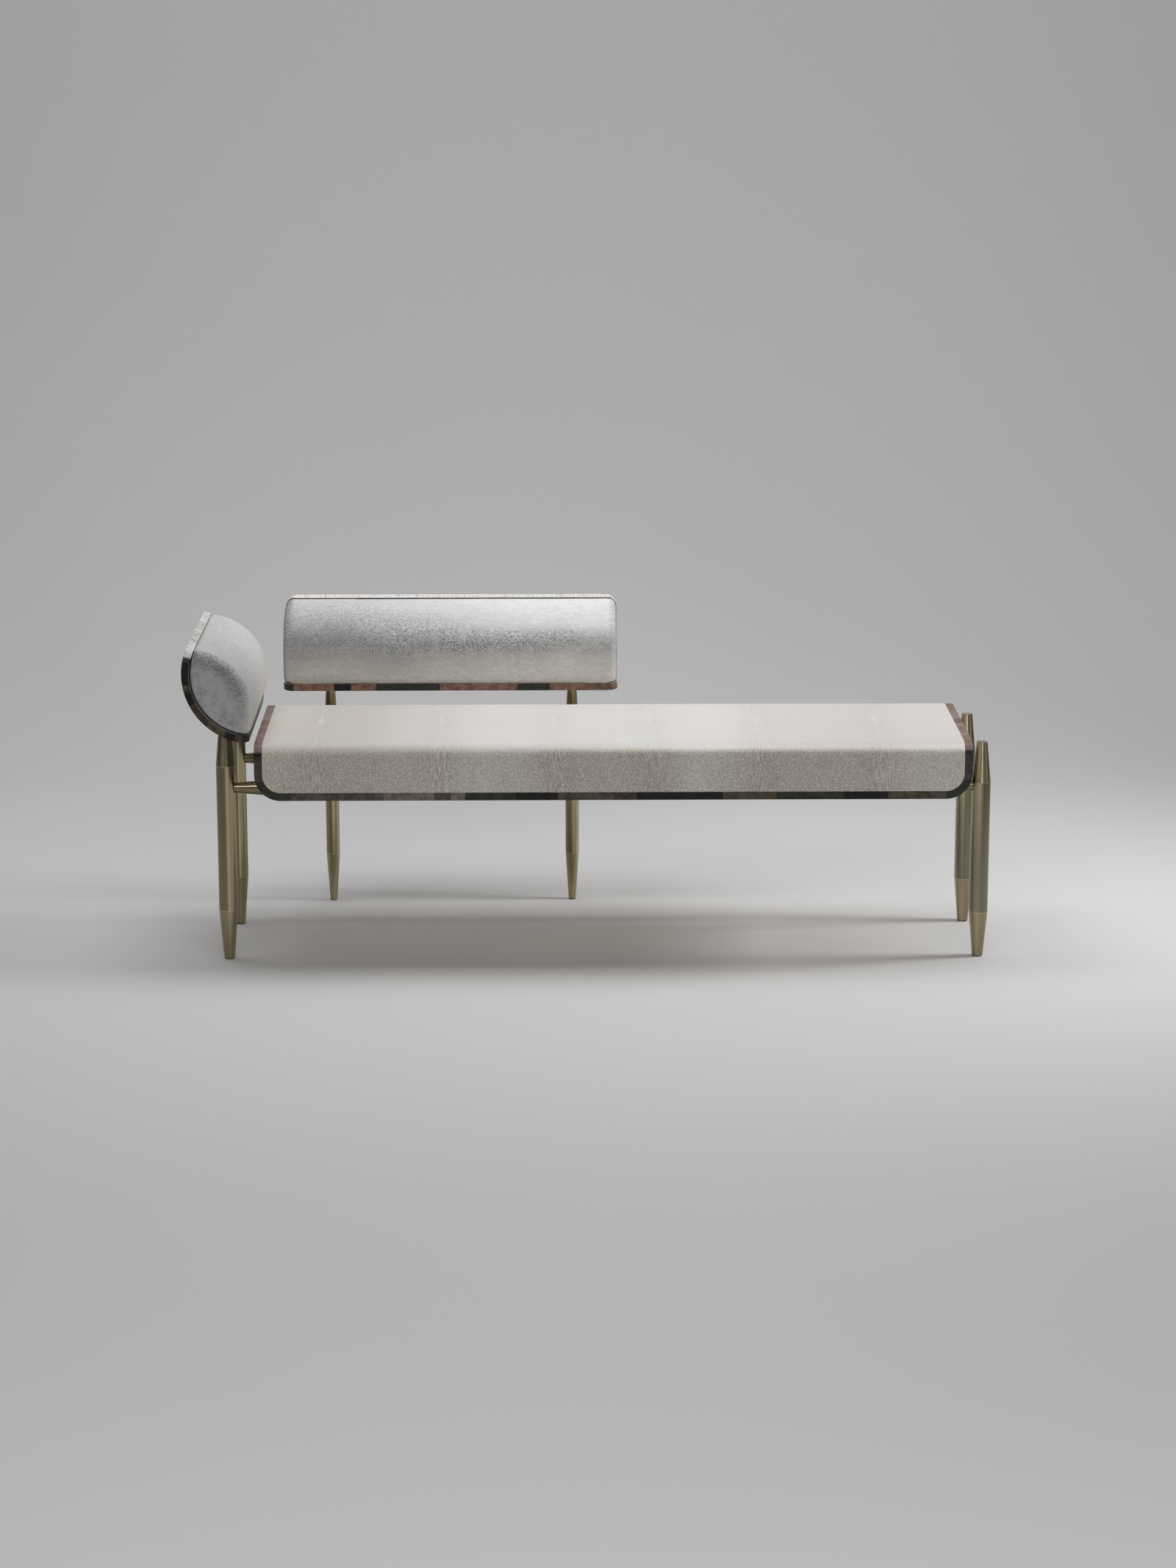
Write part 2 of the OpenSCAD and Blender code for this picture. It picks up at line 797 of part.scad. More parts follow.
module pad_screw(grow) {
  cylinder(r1 = screw_head_d / 2 + grow, r2 = screw_d / 2 + grow, h = screw_head_h);
  cylinder(r = screw_d / 2 + grow, h = pad_screw_l + grow);
}

module pad_screw_holes(l) {
  pad_screw_places(l) {
    pad_screw(fit / 2);
    translate([0, 0, -overrun]) cylinder(d = screw_head_d + fit, h = overrun);
  }
}

module pad_screws() {
  color("silver") {
    at_headrest() pad_screw_places(headrest_l) pad_screw(0);
    at_backrest() pad_screw_places(backrest_l) pad_screw(0);
  }
}

module headrest_trough() {
  color("burlywood") difference() {
    at_headrest() difference() {
      trough_core(headrest_l);
      pad_screw_holes(headrest_l);
    }
    trough_studs_cut(fit / 2);
  }
}

module headrest_backing() {
  color("linen") difference() {
    at_headrest() trough_backing(headrest_l);
    trough_studs_cut(fit / 2);
  }
}

module headrest_top_rim() {
  color("gainsboro") at_headrest() long_rim(headrest_l, 1);
}

module headrest_bottom_rim() {
  color("dimgray") at_headrest() long_rim(headrest_l, -1);
}

module headrest_end_rims() {
  color("dimgray") at_headrest() end_rims(headrest_l);
}

module headrest_pad_board() {
  color("tan") at_headrest() difference() {
    pad_board(headrest_l);
    pad_screw_holes(headrest_l);
  }
}

module headrest_foam() {
  color("khaki") at_headrest() pad_foam(headrest_l);
}

module headrest_cover() {
  color("lightgray") at_headrest() pad_cover(headrest_l);
}

module backrest_trough() {
  color("burlywood") difference() {
    at_backrest() difference() {
      trough_core(backrest_l);
      pad_screw_holes(backrest_l);
    }
    trough_studs_cut(fit / 2);
  }
}

module backrest_backing() {
  color("linen") difference() {
    at_backrest() trough_backing(backrest_l);
    trough_studs_cut(fit / 2);
  }
}

module backrest_top_rim() {
  color("gainsboro") at_backrest() long_rim(backrest_l, 1);
}

module backrest_bottom_rim() {
  color("dimgray") at_backrest() long_rim(backrest_l, -1);
}

module backrest_end_rims() {
  color("dimgray") at_backrest() end_rims(backrest_l);
}

module backrest_pad_board() {
  color("tan") at_backrest() difference() {
    pad_board(backrest_l);
    pad_screw_holes(backrest_l);
  }
}

module backrest_foam() {
  color("khaki") at_backrest() pad_foam(backrest_l);
}

module backrest_cover() {
  color("lightgray") at_backrest() pad_cover(backrest_l);
}

seat_top_board();
seat_beam(-1);  // seat_front_beam
seat_beam(1);  // seat_rear_beam
seat_end_block(seat_left + skin_t, frame_left);  // seat_left_end_block
seat_end_block(frame_right, seat_right - skin_t);  // seat_right_end_block
seat_ribs();
seat_base_board();
seat_hide(1);  // seat_hide_1
seat_hide(2);  // seat_hide_2
seat_hide(3);  // seat_hide_3
seat_hide(4);  // seat_hide_4
seat_hide(5);  // seat_hide_5
seat_hide(6);  // seat_hide_6
seat_end_hide(seat_left, frame_left);  // seat_left_end_hide
seat_end_hide(frame_right, seat_right);  // seat_right_end_hide
seat_end_border(seat_left - overrun, frame_left);  // seat_left_border
seat_end_border(frame_right, seat_right + overrun);  // seat_right_border
seat_long_border(-1);  // seat_front_border
seat_long_border(1);  // seat_rear_border
rail_tube(front_y);  // front_rail_tube
rail_tube(rear_y);  // rear_rail_tube
rail_ends();
stretcher(back_leg_xs[0]);  // left_stretcher
stretcher(back_leg_xs[1]);  // right_stretcher
main_leg_tube(left_x, front_y, left_leg_h);  // front_left_leg_tube
main_leg_tube(left_x, rear_y, left_leg_h);  // rear_left_leg_tube
main_leg_tube(right_x, front_y, right_leg_h);  // front_right_leg_tube
main_leg_tube(right_x, rear_y, right_leg_h);  // rear_right_leg_tube
back_leg_tube(back_leg_xs[0]);  // back_left_leg_tube
back_leg_tube(back_leg_xs[1]);  // back_right_leg_tube
left_leg_feet();
right_leg_feet();
back_leg_feet();
left_leg_tops();
right_leg_tops();
back_leg_tops();
foot_glides();
headrest_trough();
headrest_backing();
headrest_top_rim();
headrest_bottom_rim();
headrest_end_rims();
headrest_pad_board();
headrest_foam();
headrest_cover();
backrest_trough();
backrest_backing();
backrest_top_rim();
backrest_bottom_rim();
backrest_end_rims();
backrest_pad_board();
backrest_foam();
backrest_cover();
rail_studs();
rail_bolts();
trough_studs();
stretcher_studs();
base_screws();
pad_screws();
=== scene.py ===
import math

import bpy
from mathutils import Matrix, Vector


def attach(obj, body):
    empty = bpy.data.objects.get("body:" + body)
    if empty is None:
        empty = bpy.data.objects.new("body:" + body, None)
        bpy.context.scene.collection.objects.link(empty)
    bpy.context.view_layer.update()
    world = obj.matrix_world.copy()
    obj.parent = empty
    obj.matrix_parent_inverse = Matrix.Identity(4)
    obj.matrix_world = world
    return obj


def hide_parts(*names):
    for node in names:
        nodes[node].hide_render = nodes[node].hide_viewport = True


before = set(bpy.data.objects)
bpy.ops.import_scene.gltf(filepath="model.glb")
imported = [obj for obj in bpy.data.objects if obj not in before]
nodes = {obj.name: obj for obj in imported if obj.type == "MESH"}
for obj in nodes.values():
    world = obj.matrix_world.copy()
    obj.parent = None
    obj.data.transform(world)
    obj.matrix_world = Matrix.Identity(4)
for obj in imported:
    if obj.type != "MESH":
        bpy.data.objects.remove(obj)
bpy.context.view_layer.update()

# Sizes that the looks follow, in metres, as the part has them
MM = 0.001
SEAT_TOP = 0.482
SEAT_LEFT = -0.703652
SEAT_RIGHT = 0.803263
SEAT_MID_Y = -0.097831
BORDER_W = 0.017
SEAT_HIDES = 6
HIDE_W = (SEAT_RIGHT - SEAT_LEFT - 2 * BORDER_W) / SEAT_HIDES

# The rests' own places: the centre of each trough's arc, the lean of its chord and the way it faces
HEADREST = {"centre": (-0.704617, SEAT_MID_Y, 0.632830), "turn": (0, math.radians(-31.6), 0)}
BACKREST = {"centre": (-0.303737, 0.175685, 0.642977), "turn": (0, math.radians(-36.4), math.radians(-90))}
HEADREST_L = 0.447
BACKREST_L = 0.742
ARC_HALF = math.radians(54.85)
LENS_R = 0.129645
TROUGH_R = 0.145645
NAP_SPAN = 0.24
# The outline of a pad's flat end: an arc about a point on the rest's own X axis
END_ARC_X = -0.1320
END_ARC_R = 0.0984


class Flow:
    """A value, colour or vector on its way through a finish. Operators add Math nodes."""

    def __init__(self, finish, socket):
        self.finish = finish
        self.socket = socket

    def __add__(self, other):
        return self.finish.maths("ADD", self, other)

    def __radd__(self, other):
        return self.finish.maths("ADD", other, self)

    def __sub__(self, other):
        return self.finish.maths("SUBTRACT", self, other)

    def __rsub__(self, other):
        return self.finish.maths("SUBTRACT", other, self)

    def __mul__(self, other):
        return self.finish.maths("MULTIPLY", self, other)

    def __truediv__(self, other):
        return self.finish.maths("DIVIDE", self, other)

    def __neg__(self):
        return self.finish.maths("MULTIPLY", self, -1.0)

    def __abs__(self):
        return self.finish.maths("ABSOLUTE", self)

    def __pow__(self, other):
        return self.finish.maths("POWER", self, other)


class Finish:
    """The material of one kind of surface, with its patterns in the part's own coordinates."""

    def __init__(self, name, **fixed):
        self.material = bpy.data.materials.new(name)
        self.material.use_nodes = True
        self.tree = self.material.node_tree
        self.shader = self.tree.nodes["Principled BSDF"]
        for socket, value in fixed.items():
            self.shader.inputs[socket.replace("_", " ")].default_value = value
        self.place = self.node("TexCoord", out="Object")

    def node(self, kind, sockets=None, out=0, stops=None, **settings):
        """Any node: its settings are set first, then its sockets get their values or links."""
        made = self.tree.nodes.new("ShaderNode" + kind)
        for setting, value in settings.items():
            setattr(made, setting, value)
        if stops:
            while len(made.color_ramp.elements) < len(stops):
                made.color_ramp.elements.new(1.0)
            for element, (position, colour) in zip(made.color_ramp.elements, stops):
                element.position = position
                element.color = (*colour, 1.0)
        for key, value in (sockets or {}).items():
            if isinstance(value, Flow):
                self.tree.links.new(value.socket, made.inputs[key])
            else:
                made.inputs[key].default_value = value
        return Flow(self, made.outputs[out])

    def maths(self, operation, a, b=0.0):
        return self.node("Math", {0: a, 1: b}, operation=operation)

    def axes(self, vector):
        split = self.node("SeparateXYZ", {0: vector})
        return [Flow(self, output) for output in split.socket.node.outputs]

    def vector(self, x, y, z):
        return self.node("CombineXYZ", {0: x, 1: y, 2: z})

    def stretched(self, vector, x, y, z):
        return self.node("Mapping", {"Vector": vector, "Scale": (x, y, z)})

    def local(self, rest):
        """Coordinates in a rest's own frame: X out of its hollow, Y along it, Z up its chord."""
        sockets = {"Vector": self.place, "Location": rest["centre"], "Rotation": rest["turn"]}
        return self.node("Mapping", sockets, vector_type="TEXTURE")

    def slanted(self, vector, degrees, x, y, z):
        """Turns a pattern about X, and then stretches it."""
        return self.node("Mapping", {"Vector": vector, "Rotation": (math.radians(degrees), 0, 0),
                                     "Scale": (1 / x, 1 / y, 1 / z)}, vector_type="TEXTURE")

    def noise(self, vector, scale, detail=3.0, roughness=0.5, distortion=0.0):
        return self.node("TexNoise", {"Vector": vector, "Scale": scale, "Detail": detail,
                                      "Roughness": roughness, "Distortion": distortion})

    def cells(self, vector, scale):
        """Distance from the middle of the nearest cell."""
        return self.node("TexVoronoi", {"Vector": vector, "Scale": scale}, out="Distance")

    def chance(self, number):
        """A steady random value from 0 to 1 for each whole number."""
        return self.node("TexWhiteNoise", {"W": number}, noise_dimensions="1D")

    def between(self, value, low, high, to_low=0.0, to_high=1.0):
        return self.node("MapRange", {"Value": value, "From Min": low, "From Max": high,
                                      "To Min": to_low, "To Max": to_high}, interpolation_type="SMOOTHSTEP")

    def mix(self, factor, a, b, blend="MIX"):
        """Blends two colours. Sockets 6 and 7 and output 2 of this node are the ones for colours."""
        a, b = ((*c, 1.0) if isinstance(c, tuple) else c for c in (a, b))
        return self.node("Mix", {0: factor, 6: a, 7: b}, out=2, data_type="RGBA", blend_type=blend)

    def tinted(self, mask, colour, tint):
        """A colour multiplied by a tint as far as a mask allows."""
        return self.mix(mask, colour, tint, "MULTIPLY")

    def tones(self, value, stops, steps=False):
        """A ramp of tones over a value from 0 to 1, blended or in steps."""
        made = self.node("ValToRGB", {0: value}, stops=stops)
        if steps:
            made.socket.node.color_ramp.interpolation = "CONSTANT"
        return made

    def paint(self, colour, roughness, height=None, depth=MM, strength=1.0):
        """Links the finished patterns to the shader and returns the material."""
        self.tree.links.new(colour.socket, self.shader.inputs["Base Color"])
        self.tree.links.new(roughness.socket, self.shader.inputs["Roughness"])
        if height is not None:
            relief_and_raking_light = {"Height": height, "Distance": depth, "Strength": strength}
            bump = self.node("Bump", relief_and_raking_light, out="Normal")
            self.tree.links.new(bump.socket, self.shader.inputs["Normal"])
        return self.material


# Lengthwise streaks round a tube, from its rear over its left side, front and right side to its rear. They
# are
# mostly painted reflection: bright where highlights fall, and dark where dark surroundings are reflected
LEFT_REFLECTION_STREAKS = [(0.0, 0.35), (0.08, 0.1), (0.16, 0.5), (0.24, 0.2), (0.33, 0.12), (0.49, 0.1), (0.515, 0.4),
             (0.53, 0.95), (0.55, 0.5), (0.575, 0.42), (0.61, 0.45), (0.645, 0.62), (0.67, 0.35), (0.7, 0.1),
             (0.78, 0.45), (0.86, 0.15), (0.93, 0.6), (1.0, 0.35)]
RIGHT_REFLECTION_STREAKS = [(0.0, 0.3), (0.1, 0.5), (0.2, 0.15), (0.3, 0.33), (0.36, 0.42), (0.4, 0.3), (0.455, 0.52),
              (0.48, 0.5), (0.505, 0.2), (0.54, 0.0), (0.68, 0.0), (0.74, 0.2), (0.82, 0.12), (0.92, 0.5),
              (1.0, 0.3)]
LEFT_TOP_REFLECTION_STREAKS = [(0.0, 0.3), (0.12, 0.6), (0.25, 0.1), (0.36, 0.35), (0.4, 0.05), (0.43, 0.8), (0.48, 1.0),
                 (0.5, 0.35), (0.52, 0.0), (0.57, 0.05), (0.6, 0.3), (0.7, 0.2), (0.85, 0.5), (1.0, 0.3)]
RIGHT_TOP_REFLECTION_STREAKS = [(0.0, 0.3), (0.12, 0.1), (0.25, 0.5), (0.36, 0.35), (0.44, 0.4), (0.475, 0.95),
                  (0.52, 1.0), (0.56, 0.7), (0.61, 0.3), (0.68, 0.15), (0.75, 0.4), (0.88, 0.15), (1.0, 0.3)]
BACK_REFLECTION_STREAKS = [(place, min(amount * 1.5, 1.0)) for place, amount in LEFT_REFLECTION_STREAKS]
# The level of painted reflection that contrast turns about, the even level of a foot, and the tones of the
# metal: dark brass where dark surroundings are painted as reflected, worn brass that also serves as painted
# highlight, and greyer brass for a painted reflection fading down the tube
MID_REFLECTION = 0.36
FOOT_LEVEL = 0.46
DARK_BRASS = (0.18, 0.147, 0.083)
WORN_AND_HIGHLIT_BRASS = (0.64, 0.545, 0.355)
PATINA = (0.27, 0.245, 0.17)
FADED_REFLECTION_BRASS = (0.235, 0.225, 0.19)
SPOTTED_BRASS = (0.16, 0.12, 0.06)
RUBBED_ARRIS = (0.78, 0.70, 0.47)


def aged_brass(name, along, joints=(), reflection_streaks=LEFT_REFLECTION_STREAKS, contrast=1.0, reflection_fade=0.0):
    """Brass brushed along one axis, with lengthwise streaks that are mostly painted reflection: bright where
    highlights fall and dark where dark surroundings are reflected, by the way a face turns round the tube. A
    leg's cones meet its tube at two joints, with brighter arrises, an even tone on the foot and, if asked, a
    lower tube painted darker and greyer, as a painted reflection that fades down the tube."""
    f = Finish(name, Metallic=1.0)
    stretch = [900.0, 900.0, 900.0]
    stretch["xyz".index(along)] = 4.0
    fine = f.noise(f.stretched(f.place, *stretch), 1.0, 4.0, 0.6)
    broad = f.noise(f.stretched(f.place, *(s / 7 for s in stretch)), 1.0, 3.0)
    patina = f.between(f.noise(f.place, 9.0, 5.0, 0.6, 0.4), 0.36, 0.68)
    specks = f.between(f.noise(f.place, 420.0, 2.0), 0.64, 0.74)
    facing = f.axes(f.node("NewGeometry", out="Normal"))
    across = {"x": (facing[2], -facing[1]), "y": (facing[0], facing[2]), "z": (facing[0], -facing[1])}[along]
    # Painted reflection: each tone stands for what the face reflects as it turns round the tube
    round_it = f.maths("ARCTAN2", *across) / math.tau + 0.5 + (broad - 0.5) * 0.03
    reflection_and_wear = f.tones(round_it, [(place, (amount,) * 3) for place, amount in reflection_streaks])
    reflection_and_wear = (reflection_and_wear - MID_REFLECTION) * contrast + MID_REFLECTION + (fine - 0.5) * 0.35 + (broad - 0.5) * 0.25
    if joints:
        low_joint, high_joint = joints
        height = f.axes(f.place)["xyz".index(along)]
        foot = f.between(height, low_joint + 1.0 * MM, low_joint - 1.0 * MM)
        reflection_and_wear = reflection_and_wear + (FOOT_LEVEL - reflection_and_wear) * foot * 0.6
        # Painted reflection fading down the tube: the lower tube darker and greyer
        fade_mask = f.between(height, high_joint, low_joint + 60.0 * MM) * (1.0 - foot) * reflection_fade
        reflection_and_wear = reflection_and_wear * (1.0 - fade_mask * 0.35) + (1.0 - fade_mask) * (1.0 - foot) * reflection_and_wear * reflection_fade * 0.5
    colour = f.mix(reflection_and_wear, DARK_BRASS, WORN_AND_HIGHLIT_BRASS)
    colour = f.mix(patina * 0.25, colour, PATINA)
    if joints:
        colour = f.mix(fade_mask * 0.5, colour, FADED_REFLECTION_BRASS)
    colour = f.mix(specks * 0.35, colour, SPOTTED_BRASS)
    if joints:
        edges = [f.between(abs(height - joint), 0.3 * MM, 1.1 * MM, 1.0, 0.0) for joint in joints]
        colour = f.mix((edges[0] + edges[1]) * 0.4, colour, RUBBED_ARRIS)
    return f.paint(colour, 0.15 + fine * 0.10 + patina * 0.06, fine + broad * 0.5, 0.05 * MM, 0.6)


# Tones of the hides on the top and on the faces, in order from the headrest end to the open end. They are
# partly the hides' own tones and partly painted light: the top is painted darker towards the headrest end
# and palest in the middle, as light falling off, and the faces have warmer tones of their own, painted for
# how the light falls on them and brighter at the open end
DUSKY_TOP = (0.607, 0.575, 0.539)
SOFT_TOP = (0.662, 0.640, 0.621)
CREAM_TOP = (0.694, 0.675, 0.649)
PALE_TOP = (0.777, 0.762, 0.744)
TOP_TONES_AND_LIGHT_FALLOFF = [(0.00, DUSKY_TOP), (0.14, DUSKY_TOP), (0.22, CREAM_TOP), (0.33, PALE_TOP), (0.65, PALE_TOP),
             (0.76, CREAM_TOP), (0.87, SOFT_TOP)]
ROSY_FACE = (0.770, 0.700, 0.639)
CREAM_FACE = (0.824, 0.757, 0.698)
COOL_FACE = (0.880, 0.878, 0.829)
BRIGHT_FACE = (0.880, 0.852, 0.790)
FRONT_TONES_AND_PAINTED_LIGHT = [(0.00, CREAM_FACE), (0.14, ROSY_FACE), (0.24, CREAM_FACE), (0.33, COOL_FACE),
               (0.42, ROSY_FACE), (0.55, ROSY_FACE), (0.62, COOL_FACE), (0.71, ROSY_FACE), (0.86, ROSY_FACE),
               (0.95, BRIGHT_FACE)]
# The pearls: their size as a pattern scale, and the large eye that each hide has on the top of its spine
PEARL_SCALE = 430.0
EYE_Y = -0.076
EYE_SQUEEZE = 0.16
POLISHED_PEARL_GLINT = (1.0, 0.99, 0.97)
EYE_PEARL = (0.86, 0.87, 0.87)
ROW_PEARL = (0.88, 0.87, 0.85)
HIDE_JOINT = (0.40, 0.36, 0.31)


def shagreen(name, spine=None):
    """Polished pebble-grained hide, smooth on the top and ruffled on the faces. Its rounded edge is painted
    brighter as painted light, and on the faces its darker pits and whiter pearl tops are partly painted
    raking shade and glint. With a spine it has a row of pearls and ripples there, an eye on the top, and a
    fine joint to its neighbours."""
    f = Finish(name, Coat_Weight=0.04, Coat_Roughness=0.4, Specular_IOR_Level=0.2)
    x, y, z = f.axes(f.place)
    up = f.axes(f.node("NewGeometry", out="Normal"))[2]
    flat = f.between(up, 0.25, 0.95)
    pearls = f.between(f.cells(f.place, PEARL_SCALE), 0.14, 0.60, 1.0, 0.0)
    if spine is None:
        near = f.between(f.noise(f.place, 5.0, 2.0), 0.45, 0.75) * 0.5
        grain = pearls
    else:
        wobble = f.noise(f.place, 14.0, 2.0)
        near = f.between(abs(x - spine + (wobble - 0.5) * 0.03), 4.0 * MM, 60.0 * MM, 1.0, 0.0)
        combed = f.stretched(f.place, PEARL_SCALE, 45.0, 45.0)
        ripples = f.between(f.noise(combed, 1.0, 1.0, 0.5, 0.1), 0.42, 0.58)
        grain = pearls + (ripples - pearls) * near * near * 0.4
    relief_and_raking_light = (1.0 - flat) * (0.66 + near * 0.18) + flat * (0.10 + near * 0.10)
    along = (x - SEAT_LEFT) / (SEAT_RIGHT - SEAT_LEFT) + (f.noise(f.place, 11.0, 2.0) - 0.5) * 0.05
    tone = f.mix(flat, f.tones(along, FRONT_TONES_AND_PAINTED_LIGHT), f.tones(along, TOP_TONES_AND_LIGHT_FALLOFF))
    # Painted light: the rounded edge between top and face is brighter, more so towards the open end
    turn = flat * (1.0 - flat) * 4.0
    tone = f.tinted(turn, tone, f.mix(f.between(x, -0.45, 0.35), (1.0,) * 3, (1.36,) * 3))
    clouds = f.noise(f.place, 7.0, 4.0, 0.6)
    tone = f.tinted(f.between(clouds, 0.35, 0.68) * 0.35, tone, (0.98, 0.945, 0.90))
    mottle = f.between(f.noise(f.place, 330.0, 3.0, 0.65), 0.38, 0.62)
    tone = f.tinted(mottle * (1.0 - flat * 0.85) * 0.22, tone, (0.76, 0.74, 0.71))
    # Darker pits and whiter pearl tops: partly the hide's polish, partly painted raking shade and glint,
    # much stronger on the faces than on the top
    colour = f.tinted((1.0 - grain) * relief_and_raking_light, tone, (0.40, 0.37, 0.33))
    colour = f.mix(grain ** 3.0 * relief_and_raking_light * 0.5, colour, POLISHED_PEARL_GLINT)
    height = grain * relief_and_raking_light
    if spine is not None:
        large = f.between(f.cells(f.place, 260.0), 0.05, 0.66, 1.0, 0.0)
        middle = (spine, EYE_Y * EYE_SQUEEZE, SEAT_TOP)
        off = f.node("VectorMath", {0: f.vector(x, y * EYE_SQUEEZE, z), 1: middle},
                     operation="DISTANCE", out="Value")
        eye = f.between(off, 2.0 * MM, 10.0 * MM, 1.0, 0.0)
        row = f.between(abs(x - spine + 1.0 * MM), 0.6 * MM, 1.8 * MM, 1.0, 0.0)
        colour = f.mix(eye * (0.1 + large * 0.55), colour, EYE_PEARL)
        colour = f.mix(row * large * 0.3, colour, ROW_PEARL)
        share = f.maths("FRACT", (x - SEAT_LEFT - BORDER_W) / HIDE_W)
        edge = f.between(abs(share - 0.5), 0.4972, 0.4994)
        colour = f.mix(edge * 0.10, colour, HIDE_JOINT)
        height = height + row * large * 0.3 + eye * large - edge * 0.5
    return f.paint(colour, 0.62 - grain * relief_and_raking_light * 0.16, height, 0.5 * MM, 0.8)


# A joint between two blocks of shell is full this far to each side, and fades out this far away
JOINT_CORE = 0.4 * MM
JOINT_EDGE = 1.6 * MM
PALE_CHANCE = 31.0
SHELL_JOINT = (0.035, 0.03, 0.027)
SHELL_FLECK = (0.30, 0.25, 0.21)
# A painted highlight along the inner arris of an arc rim
SHELL_ARRIS_HIGHLIGHT = (0.50, 0.48, 0.43)


def shell(name, path, dark, pale, block, seed, rest=None, length=None, lift=0.0):
    """Polished shell in blocks along a path: along X or Y, over the seat, or round a rest's arc. Where a
    face looks up to the light it takes the pale tones, a painted reflection of the light, and more so with a
    lift.
    With a length, the dark tones are laid in order from one end to the other, else they fall at random."""
    f = Finish(name, Coat_Weight=0.04, Coat_Roughness=0.15, Specular_IOR_Level=0.18)
    place = f.local(rest) if rest else f.place
    x, y, z = f.axes(place)
    if path == "x":
        along = x - (SEAT_LEFT + SEAT_RIGHT) / 2
    elif path == "y":
        along = y
    elif path == "over":
        along = y + z
    else:
        along = f.maths("ARCTAN2", z, -x) * -TROUGH_R
    jitter = f.noise(f.vector(along, 0.0, 0.0), 19.0, 1.0)
    steps = along / block + jitter * 1.6 + seed
    index = f.maths("FLOOR", steps)
    part = f.maths("FRACT", steps)
    grain = f.noise(f.stretched(place, 300.0, 300.0, 300.0), 1.0, 4.0, 0.65, 0.8)
    clouds = f.noise(place, 60.0, 4.0, 0.6, 0.8)
    flecks = f.between(f.noise(place, 520.0, 2.0, 0.6), 0.56, 0.70)
    order = along / length + 0.5 if length else f.chance(index)
    dark_tone = f.tones(order, dark, steps=True)
    dark_tone = f.tinted(f.between(clouds, 0.38, 0.66) * 0.8, dark_tone, (0.42, 0.40, 0.38))
    dark_tone = f.mix(flecks * 0.4, dark_tone, f.mix(0.3, dark_tone, SHELL_FLECK))
    pale_reflection_tone = f.tones(f.chance(index + PALE_CHANCE), pale, steps=True)
    bars = f.between(f.noise(f.vector(along, 0.0, seed), 210.0, 1.0), 0.42, 0.60)
    pale_reflection_tone = f.tinted(f.between(grain, 0.42, 0.70) * 0.6, pale_reflection_tone, (1.30, 1.27, 1.24))
    pale_reflection_tone = f.tinted(bars * 0.3, pale_reflection_tone, (0.55, 0.50, 0.47))
    pale_reflection_tone = f.tinted(f.between(clouds, 0.52, 0.72) * 0.6, pale_reflection_tone, (0.50, 0.46, 0.45))
    # Upward faces take the pale tones: a painted reflection of the light
    up = f.axes(f.node("NewGeometry", out="Normal"))[2]
    colour = f.mix(f.between(up + lift, 0.34, 0.58), dark_tone, pale_reflection_tone)
    joint = f.between(abs(part - 0.5), 0.5 - JOINT_EDGE / block, 0.5 - JOINT_CORE / block)
    colour = f.mix(joint * (0.25 if length else 0.7), colour, SHELL_JOINT)
    # Painted highlight on the arc rim's inner arris
    if path == "arc":
        radius = f.maths("SQRT", x * x + z * z)
        arris_highlight = f.between(radius, LENS_R + 0.2 * MM, LENS_R + 0.5 * MM)
        arris_highlight = arris_highlight * f.between(radius, LENS_R + 0.9 * MM, LENS_R + 1.4 * MM, 1.0, 0.0)
        colour = f.mix(arris_highlight * 0.5, colour, SHELL_ARRIS_HIGHLIGHT)
    roughness = 0.20 + grain * 0.18 + joint * 0.3
    return f.paint(colour, roughness, grain * 0.25 - joint + clouds * 0.3, 0.12 * MM, 0.5)


# The nap is painted warm from this height down, as warm light bounced up from the seat, over this depth, by
# losing these shares of its green and blue
WARM_BELOW = -30.0 * MM
WARM_DEPTH = 40.0 * MM
WARM_GREEN_LOSS = 0.045
WARM_BLUE_LOSS = 0.115
# The dark tone painted on the ends' ridges as shade, and the tone of the rounded ends
RIDGE_SHADE_NAP = (0.33, 0.335, 0.34)
ROUNDED_NAP = (0.62, 0.62, 0.61)


def nap_tones(heights):
    """Tones of a nap by height above its rest's middle in metres: grey above, and painted warm below, as
    warm light bounced up from the seat."""
    stops = []
    for height, tone in heights:
        warm = min(max((WARM_BELOW - height) / WARM_DEPTH, 0.0), 1.0)
        warmed = (tone, tone * (1 - WARM_GREEN_LOSS * warm), tone * (1 - WARM_BLUE_LOSS * warm))
        stops.append((height / NAP_SPAN + 0.5, warmed))
    return stops


